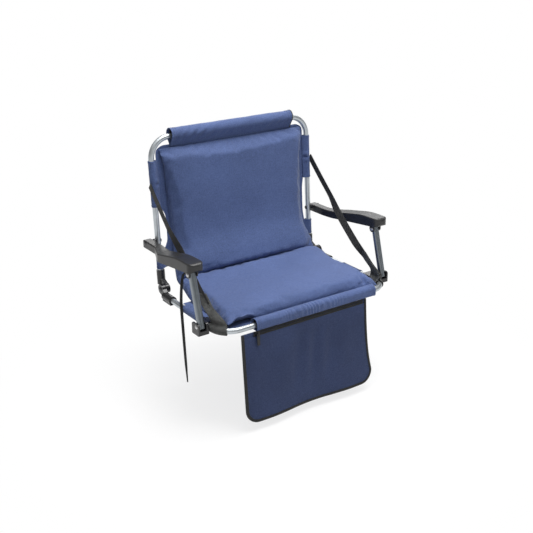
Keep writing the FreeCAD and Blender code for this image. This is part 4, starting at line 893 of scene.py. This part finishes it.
def top_section():
    """The drop-shaped section of the head roll, starting at its seam."""
    cy, cz = BACK_Y - 2.0, TOP_ROLL_SEAM + 31.0
    points = [(BACK_Y + SEAM_HALF, TOP_ROLL_SEAM)]
    for k in range(1, 5):
        t = k / 5
        points.append((BACK_Y + SEAM_HALF + 12.5 * t ** 1.3, TOP_ROLL_SEAM + TOP_ROLL_RISE * t))
    for k in range(25):
        angle = math.radians(-24 + 228 * k / 24)
        points.append((cy + TOP_ROLL_RADIUS * math.cos(angle), cz + TOP_ROLL_RADIUS * math.sin(angle)))
    for k in range(6, 0, -1):
        t = k / 7
        points.append((BACK_Y - SEAM_HALF - 15.2 * t ** 1.3, TOP_ROLL_SEAM + TOP_ROLL_RISE * t))
    points.append((BACK_Y - SEAM_HALF, TOP_ROLL_SEAM))
    cosine, sine = math.cos(-LEAN_ANGLE), math.sin(-LEAN_ANGLE)
    leaning = []
    for y, z in points:
        dy, dz = y - BACK_Y, z - RAIL_Z
        leaning.append((BACK_Y + dy * cosine - dz * sine, RAIL_Z + dy * sine + dz * cosine))
    return leaning


def top_crumple(x, u, k):
    front = bump(k, 0.78, 0.16)
    pull = math.sin(x / 4.2 + 26.0 * k + 1.4 * math.sin(x / 27.0))
    wave = 1.25 * pull * front * (bump(u, 0.2, 0.2) + 0.5 * bump(u, 0.85, 0.12))
    wave += 0.9 * ripple(x / 30.0 + 6 * k, k * 9.0, 2.0)
    wave += 0.8 * bump(u, 0.0, 0.015) + 0.6 * bump(u, 1.0, 0.015)
    seam = min(1.0, min(k, 1 - k) / 0.12)
    return wave * seam


top_rows = roll("top_roll", *TOP_ROLL, top_section(), top_crumple, "back", "top_sleeve",
                (0.378, 0.125), columns=190, hemmed=True)
ring_stitches(back_stitches, top_rows, (4, 7, len(top_rows) - 8, len(top_rows) - 5))


def front_section():
    """The section of the roll round the front bar, starting at its lower front edge."""
    points = []
    low, high = RAIL_Z - 10.7, RAIL_Z + 16.8
    front, rear = FRONT_Y - 12.4, FRONT_Y + 12.4
    corners = [(front, low, 4.5, 180), (front, high, 11.5, 90),
               (rear, high, 11.5, 0), (rear, low, 4.5, -90)]
    for y, z, radius, start in corners:
        cy = y + radius if y == front else y - radius
        cz = z + radius if z == low else z - radius
        for k in range(8):
            angle = math.radians(start + 90 - 90 * k / 7)
            points.append((cy + radius * math.cos(angle), cz + radius * math.sin(angle)))
    return points


def front_crumple(x, u, k):
    upper = bump(k, 0.33, 0.17)
    tuck = math.sin(x / 2.0 + 3.0 * math.sin(x / 13.0) + 9.0 * k) + 0.8 * ripple(x / 7.0, 11.0 * k, 4.0)
    wave = 1.25 * bump(u, 0.47, 0.2) * upper * tuck
    wave += 0.75 * ripple(x / 24.0, 7.0 * k, 6.0) * (0.4 + upper)
    wave += 0.9 * bump(u, 0.0, 0.015) + 0.8 * bump(u, 1.0, 0.015)
    return wave


front_rows = roll("front_roll", *FRONT_ROLL, front_section(), front_crumple, "seat", "front_sleeve",
                  (0.376, 0.098), columns=240, hemmed=False)
ring_stitches(seat_stitches, front_rows, (4, 8, len(front_rows) - 9, len(front_rows) - 5))


# Straps

STRAP_TOP = (255.5, BACK_Y + 288.0 * LEAN, STRAP_SEAM)
STRAP_WIDTH = 19.5
STRAP_SAG = 9.0
ANCHOR_Y = -116.7
ANCHOR_TOP = 70.0
STRAP_END = (RAIL_X, ANCHOR_Y, RAIL_Z + 23.5)
STRAP_STOP = 0.9
BEND_RADIUS = 50.0
BEND_START = -116.0


def strap_point(t):
    """A point of the right strap's middle line, from its seam on the back (0) to the rail (1)."""
    start, end = np.array(STRAP_TOP), np.array(STRAP_END)
    point = start + (end - start) * t
    point[2] -= STRAP_SAG * 4 * t * (1 - t)
    return point


def follow_strap(obj):
    """Bake a piece's placement into its mesh."""
    low, high = metres([(0.0, *STRAP_END[1:]), (0.0, *STRAP_TOP[1:])])
    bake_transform(obj)
    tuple(low)
    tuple(high)


def strap(side, word, turn, straightens):
    """A sewn strap from the back's sleeve down to the rail, turning over a little on its way."""
    count = 64
    mirror = np.array([side, 1.0, 1.0])
    chord = (np.array(STRAP_END) - np.array(STRAP_TOP)) * mirror
    flat = np.cross(chord, (1.0, 0.0, 0.0))
    flat /= np.linalg.norm(flat)
    rows = []
    for k in range(count):
        t = STRAP_STOP * k / (count - 1)
        turned = ease(t, 0.3, 0.5) * (1 - straightens * ease(t, 0.72, 0.88))
        twist = turn * turned
        inward = STRAP_WIDTH / 2 * abs(math.sin(twist))
        point = strap_point(t) * mirror
        point[0] += side * (0.9 * math.sin(math.pi * t) ** 2 * (1 - turned) - inward)
        across = flat * math.cos(twist) + np.array([1.0, 0.0, 0.0]) * math.sin(twist)
        across *= STRAP_WIDTH / 2 / np.linalg.norm(across)
        rows.append([point + across * s for s in (-1.0, -0.92, -0.4, 0.4, 0.92, 1.0)])
    obj = cloth_sheet("strap_tape_" + word, rows, black_tape, "black_webbing", None, 1.4)
    follow_strap(obj)
    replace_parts(obj, "strap_" + word)


# The wide tape on each side: its turn round the rail's bend, its width's direction by the strap
# as (x, y), and how far its middle lies inward of the strap's.
ANCHOR_TURN = {-1: math.radians(24.0), 1: math.radians(8.0)}
ANCHOR_ACROSS = {-1: (-0.55, -0.835), 1: (0.0, -1.0)}
ANCHOR_INWARD = {-1: 4.2, 1: 0.0}
ANCHOR_HALF = 24.0
ANCHOR_NARROWING = 9.5
ANCHOR_GIRTH = 10.9
ANCHOR_NECK = 13.5
STRAP_RUN = np.array([strap_point(1 - k / 60) for k in range(61)])


def anchor_point(side, x, z, s):
    """A point of the wide tape: x off its middle, z above the rail, s across its width."""
    rise = ease(z, 12.0, 46.0)
    half = ANCHOR_HALF - ANCHOR_NARROWING * rise
    angle = ANCHOR_TURN[side] + s * half / BEND_RADIUS
    if angle > 0:
        reach = BEND_RADIUS + x
        ring_x = RAIL_X - BEND_RADIUS + reach * math.cos(angle)
        ring_y = BEND_START - reach * math.sin(angle)
    else:
        ring_x = RAIL_X + x
        ring_y = BEND_START - angle * BEND_RADIUS
    height = STRAP_RUN[:, 2] - RAIL_Z
    middle_x = np.interp(z, height, STRAP_RUN[:, 0]) - ANCHOR_INWARD[side]
    middle_y = np.interp(z, height, STRAP_RUN[:, 1])
    off = x + 0.4 * math.sin(5.0 * s + z / 5.0) * rise * (1 - rise) * 4
    across_x, across_y = ANCHOR_ACROSS[side]
    flap_x = middle_x + across_x * s * half - across_y * off
    flap_y = middle_y + across_y * s * half + across_x * off
    return (side * (ring_x + (flap_x - ring_x) * rise), ring_y + (flap_y - ring_y) * rise, RAIL_Z + z)


def anchor(side, word):
    """Wide tape wrapped round the rail where it starts to bend, drawn in to the strap above."""
    heights = [ANCHOR_TOP - (ANCHOR_TOP - ANCHOR_NECK) * k / 19 for k in range(20)]
    turns = [math.radians(108 + 324 * k / 26) for k in range(27)]
    path = [(-1.5, z) for z in heights]
    path += [(ANCHOR_GIRTH * math.cos(a), ANCHOR_GIRTH * math.sin(a)) for a in turns]
    path += [(1.5, z) for z in reversed(heights)]
    shares = (-1.0, -0.94, -0.5, 0.0, 0.5, 0.94, 1.0)
    rows = [[anchor_point(side, x, z, s) for s in shares] for x, z in path]
    obj = cloth_sheet("anchor_tape_" + word, rows, grey_tape, "black_webbing", None, 1.4)
    follow_strap(obj)
    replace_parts(obj, "strap_anchor_" + word)
    for z in (17.0, 21.0, 62.0, 66.0):
        for face in (-1, 1):
            run = [anchor_point(side, face * 2.45, z, 0.85 * (k / 5 - 1)) for k in range(11)]
            tape_stitches.row(run, (face * side, 0, 0))


STRAP_TURNS = {-1: (0.45, 0.0), 1: (0.62, 1.0)}
for side, word in SIDES:
    strap(side, word, *STRAP_TURNS[side])
    anchor(side, word)


# Loose tape on the left strap: the route's points as control points of one smooth spline.
TAIL_ROUTE = [
    (-0.2585, -0.0060, 0.1240),
    (-0.2668, -0.0060, 0.1228),
    (-0.2718, -0.0020, 0.1090),
    (-0.2726, 0.0040, 0.0820),
    (-0.2729, 0.0100, 0.0340),
    (-0.2722, 0.0080, -0.0240),
    (-0.2730, 0.0030, -0.0860),
    (-0.2724, 0.0000, -0.1480),
    (-0.2728, -0.0040, -0.1840),
]
TAIL_WIDTH = 0.0075


def route_line(points):
    """Points along the NURBS spline that has the given control points."""
    curve = bpy.data.curves.new("tail_route", "CURVE")
    curve.dimensions = "3D"
    spline = curve.splines.new("NURBS")
    spline.points.add(len(points) - 1)
    for slot, point in zip(spline.points, points):
        slot.co = (*point, 1.0)
    spline.order_u = 3
    spline.use_endpoint_u = True
    spline.resolution_u = 8
    holder = bpy.data.objects.new("tail_route", curve)
    bpy.context.scene.collection.objects.link(holder)
    bpy.context.view_layer.update()
    line = bpy.data.meshes.new_from_object(holder)
    run = [v.co.copy() for v in line.vertices]
    bpy.data.objects.remove(holder)
    return run


tail_line = route_line(TAIL_ROUTE)
tail_length = sum((b - a).length for a, b in zip(tail_line, tail_line[1:]))
tail_rows = []
for index, point in enumerate(tail_line):
    share = index / (len(tail_line) - 1)
    turn = -0.6 + 0.5 * math.sin(4.4 * share + 0.4)
    width = TAIL_WIDTH * (1.0 if share < 0.9 else 1.0 - 0.55 * (share - 0.9) / 0.1)
    away = Vector((math.cos(turn), math.sin(turn), 0.15 if share < 0.08 else 0.0)).normalized()
    tail_rows.append([tuple((point + away * width / 2 * s) * 1000) for s in (-1.0, -0.9, 0.0, 0.9, 1.0)])
tail = cloth_sheet("tail_tape", tail_rows, black_tape, "black_webbing", None, 1.2)
follow_strap(tail)
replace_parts(tail, "strap_tail_left")
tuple(TAIL_ROUTE[0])


# Pouch

POUCH_LEFT = -214.0
POUCH_RIGHT = 190.0
POUCH_FLARE = 14.0
POUCH_HEIGHT = 241.0
POUCH_CORNER = 36.0
POUCH_TOP = 1.1
POUCH_Y = FRONT_Y - 9.0
POUCH_TILT = math.radians(4.0)


def pouch_place(x, drop, forward):
    """A point of the hanging pouch: drop below its seam, and forward of its back cloth."""
    u = (x - POUCH_LEFT) / (POUCH_RIGHT - POUCH_LEFT)
    ramp = max(0.0, (drop - 30.0) / (POUCH_HEIGHT - 30.0))
    wave = -5.0 * math.sin(3 * math.pi * u) * ramp
    wave += 0.8 * ripple(x / 50.0, drop / 60.0, 1.0) * ramp
    folds = math.sin(x / 11.0 + 1.5 * math.sin(x / 37.0) + drop / 90.0)
    upper = ease(drop, 20.0, 70.0) * (1 - ease(drop, 120.0, 215.0))
    wave += 2.6 * folds * upper * math.sin(math.pi * min(1.0, max(0.0, u)))
    y = wave - forward
    return (x, POUCH_Y + y * math.cos(POUCH_TILT) - drop * math.sin(POUCH_TILT),
            POUCH_TOP - y * math.sin(POUCH_TILT) - drop * math.cos(POUCH_TILT))


def flare(drop):
    """How far the pouch's right edge stands in from its widest place."""
    return POUCH_FLARE * (1 - min(1.0, drop / (POUCH_HEIGHT - POUCH_CORNER)) ** 4)


def pouch_sides(drop, inset):
    """Left and right ends of the pouch at a drop below its seam."""
    left = POUCH_LEFT + inset
    right = POUCH_RIGHT - flare(drop) - inset
    bottom = POUCH_HEIGHT - inset
    radius = POUCH_CORNER - inset
    below = drop - (bottom - radius)
    if below > 0:
        pull = radius - math.sqrt(max(0.0, radius ** 2 - min(below, radius) ** 2))
        left += pull
        right -= pull
    return left, right


def pouch_sheet(name, forward, top, inset, node):
    drops = [top + (POUCH_HEIGHT - inset - POUCH_CORNER - top) * k / 40 for k in range(41)]
    radius = POUCH_CORNER - inset
    drops += [POUCH_HEIGHT - inset - radius + radius * math.sin(math.pi / 2 * k / 12) for k in range(1, 13)]
    rows = []
    for drop in drops:
        left, right = pouch_sides(drop, inset)
        rows.append([pouch_place(left + (right - left) * k / 80, drop, forward) for k in range(81)])
    obj = cloth_sheet(name, rows, pouch_cloth, "pouch_cloth", "pouch", 0.8)
    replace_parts(obj, node)


def pouch_border(inset, start):
    """The run down the left edge, along the bottom and up the right edge."""
    radius = POUCH_CORNER - inset
    low = POUCH_HEIGHT - POUCH_CORNER
    left, right = POUCH_LEFT + inset, POUCH_RIGHT - inset
    drops = [start + (low - start) * k / 30 for k in range(31)]
    turns = [math.pi / 2 * k / 12 for k in range(1, 12)]
    bends = [(radius * (1 - math.cos(a)), low + radius * math.sin(a)) for a in turns]
    run = [(left, drop) for drop in drops]
    run += [(left + x, drop) for x, drop in bends]
    run += [(left + radius + (right - left - 2 * radius) * k / 60, low + radius) for k in range(61)]
    run += [(right - x, drop) for x, drop in reversed(bends)]
    run += [(right - flare(drop), drop) for drop in reversed(drops)]
    return run


# The binding's fold over the edge: its share of the way in, and its place forward of the back cloth.
BINDING_FOLD = ((1.0, -0.35), (0.5, -0.6), (0.12, -0.5), (0.0, 0.2), (0.0, 1.35),
                (0.0, 2.5), (0.12, 3.2), (0.5, 3.3), (1.0, 3.05))


def binding():
    """Folded tape over the pouch's raw edges."""
    rows = []
    for (x, drop), (ix, idrop) in zip(pouch_border(0.4, 0.5), pouch_border(8.2, 0.5)):
        rows.append([pouch_place(x + (ix - x) * share, drop + (idrop - drop) * share, forward)
                     for share, forward in BINDING_FOLD])
    obj = cloth_sheet("pouch_binding_tape", rows, black_tape, "black_webbing", "pouch", 0.8)
    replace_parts(obj, "pouch_binding")
    run = [pouch_place(x, drop, 3.75) for x, drop in pouch_border(6.8, 2.0)]
    pouch_stitches.row(run, (0, -1, 0), length=3.0, gap=1.4, radius=0.35)


binding()


# Zipper: woven tapes with a coil of small links between them

ZIP_START = -179.5
ZIP_END = 165.5
ZIP_PITCH = 1.9
ZIP_LINK = ((4.4, 2.3, 1.0), (4.6, 3.6, 1.0), (6.0, 4.0, 0.0), (7.4, 3.6, 1.0), (7.6, 2.3, 1.0))


def zip_tape(word, low, high):
    """One tape of the zipper, between two drops below the pouch's seam."""
    rows = []
    for k in range(60):
        x = ZIP_START + (ZIP_END - ZIP_START) * k / 59
        sway = 0.15 * math.sin(x / 9.0)
        rows.append([pouch_place(x, low + (high - low + sway) * t, 2.1) for t in (0.0, 0.33, 0.67, 1.0)])
    return cloth_sheet("zip_tape_" + word, rows, black_tape, "zip_black", "pouch", 0.8)


def zip_coil():
    """A row of small bent links, set off to either side in turn."""
    verts = []
    faces = []
    for k in range(int((ZIP_END - ZIP_START) / ZIP_PITCH)):
        x = ZIP_START + 1 + ZIP_PITCH * k
        shift = 0.55 if k % 2 else -0.55
        base = len(verts)
        for dx in (-0.55, 0.55):
            for drop, forward, moved in ZIP_LINK:
                verts.append(pouch_place(x + dx, drop + shift * moved, forward))
        for i in range(4):
            faces.append((base + i, base + i + 1, base + i + 6, base + i + 5))
        faces.append((base, base + 5, base + 9, base + 4))
        faces.append(tuple(base + i for i in (4, 3, 2, 1, 0)))
        faces.append(tuple(base + i for i in (5, 6, 7, 8, 9)))
    return piece("zip_coil", metres(verts), faces, zip_black, "zip_black", "pouch")


upper_tape = zip_tape("upper", 0.3, 3.9)
lower_tape = zip_tape("lower", 8.1, 12.6)
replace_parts(upper_tape, "zipper_tape")
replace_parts(zip_coil(), "zipper_coil")
pouch_sheet("pouch_back_cloth", 0.5, 0.0, 2.0, "pouch_back_panel")
pouch_sheet("pouch_front_cloth", 2.2, 12.4, 2.0, "pouch_front_panel")

for rows in (seat_stitches, back_stitches, pouch_stitches):
    rows.build()
follow_strap(tape_stitches.build())


# Stage: a white floor with a soft shadow, soft light from above, and the camera

FLOOR_Z = -0.262
FLOOR_HALF = 7.0
FLOOR_COLOUR = 0.92
FLOOR_BOUNCE = 0.58
SHADOW_SHARE = 0.26
SHADOW_NEAR = 0.35
SHADOW_FAR = 0.85
WHITE = grey(1.0)
SKY_LEVELS = ((0.0, 0.45), (0.12, 0.32), (0.3, 0.16), (0.55, 0.28), (0.85, 0.85))


def background_rays(tree, path):
    """1 for the rays that see the background: from the camera, in reflections, through glass."""
    mirrored = tree.math("MAXIMUM", path["Is Camera Ray"], path["Is Glossy Ray"])
    return tree.math("MAXIMUM", mirrored, path["Is Transmission Ray"])


def stage():
    """A flat floor, white where it is seen, that keeps a share of the object's shadow.

    It gives less light back to the object than its colour would.
    """
    h = FLOOR_HALF
    mesh = bpy.data.meshes.new("floor")
    corners = [(-h, -h, FLOOR_Z), (h, -h, FLOOR_Z), (h, h, FLOOR_Z), (-h, h, FLOOR_Z)]
    mesh.from_pydata(corners, [], [(0, 1, 2, 3)])
    floor = bpy.data.objects.new("floor", mesh)
    bpy.context.scene.collection.objects.link(floor)
    material = bpy.data.materials.new("floor")
    material.use_nodes = True
    tree = Tree(material.node_tree)
    tree.tree.nodes.remove(tree.tree.nodes["Principled BSDF"])
    path = tree.node("LightPath", {}).outputs
    colour = tree.mix(path["Is Diffuse Ray"], grey(FLOOR_COLOUR), grey(FLOOR_BOUNCE))
    diffuse = tree.node("BsdfDiffuse", {"Color": colour}).outputs[0]
    white = tree.node("Emission", {"Color": opaque(WHITE)}).outputs[0]
    coords = tree.node("TexCoord", {}).outputs["Object"]
    distance = tree.node("VectorMath", {0: coords}, operation="LENGTH").outputs["Value"]
    fade = {"Value": distance, "From Min": SHADOW_NEAR, "From Max": SHADOW_FAR,
            "To Min": 1 - SHADOW_SHARE, "To Max": 1.0}
    share = tree.node("MapRange", fade, interpolation_type="SMOOTHSTEP").outputs[0]
    seen = tree.math("MULTIPLY", background_rays(tree, path), share)
    mixed = tree.node("MixShader", {0: seen, 1: diffuse, 2: white}).outputs[0]
    tree.join(mixed, tree.tree.nodes["Material Output"].inputs["Surface"])
    mesh.materials.append(material)


def sky():
    """Soft room light, brighter overhead, that the camera sees as plain white."""
    world = bpy.data.worlds.new("studio")
    bpy.context.scene.world = world
    world.use_nodes = True
    tree = Tree(world.node_tree)
    coords = tree.node("TexCoord", {}).outputs["Generated"]
    height = tree.node("SeparateXYZ", {0: coords}).outputs["Z"]
    light = tree.ramp(height, [(place, grey(level)) for place, level in SKY_LEVELS])
    seen = tree.node("LightPath", {}).outputs["Is Camera Ray"]
    tree.join(tree.mix(seen, light, WHITE), tree.tree.nodes["Background"].inputs["Color"])


def lamp(name, place, target, size, power):
    light = bpy.data.lights.new(name, "AREA")
    light.energy = power
    light.shape = "RECTANGLE"
    light.size, light.size_y = size
    obj = bpy.data.objects.new(name, light)
    bpy.context.scene.collection.objects.link(obj)
    obj.location = place
    aim = Vector(target) - Vector(place)
    obj.rotation_euler = aim.to_track_quat("-Z", "Y").to_euler()


stage()
sky()
lamp("key", (0.35, -0.35, 2.4), (0, 0.0, 0.1), (1.6, 1.6), 64.0)
lamp("fill", (-1.9, -2.3, 1.3), (0, 0, 0.1), (1.6, 1.6), 2.5)
lamp("rear", (1.35, 2.0, 1.15), (0, 0.0, 0.15), (1.8, 0.9), 14.0)

CAMERA_AZIMUTH = math.radians(-33.85468)
CAMERA_ELEVATION = math.radians(21.36523)
CAMERA_ROLL = math.radians(-0.78289)
CAMERA_PLACE = Vector((-1.2197297, -1.7896755, 0.9221095))
FOCAL_PIXELS = 877.2637
IMAGE_PIXELS = 533.0
SENSOR = 36.0


def camera():
    data = bpy.data.cameras.new("camera")
    obj = bpy.data.objects.new("camera", data)
    bpy.context.scene.collection.objects.link(obj)
    data.sensor_width = SENSOR
    data.lens = SENSOR * FOCAL_PIXELS / IMAGE_PIXELS
    a, e, roll = CAMERA_AZIMUTH, CAMERA_ELEVATION, CAMERA_ROLL
    back = Vector((math.sin(a) * math.cos(e), -math.cos(a) * math.cos(e), math.sin(e)))
    level = Vector((math.cos(a), math.sin(a), 0.0))
    upright = back.cross(level)
    right = level * math.cos(roll) + upright * math.sin(roll)
    up = upright * math.cos(roll) - level * math.sin(roll)
    turn = Matrix((right, up, back)).transposed().to_4x4()
    obj.matrix_world = Matrix.Translation(CAMERA_PLACE) @ turn
    bpy.context.scene.camera = obj


camera()
bpy.context.scene.view_settings.view_transform = "Standard"
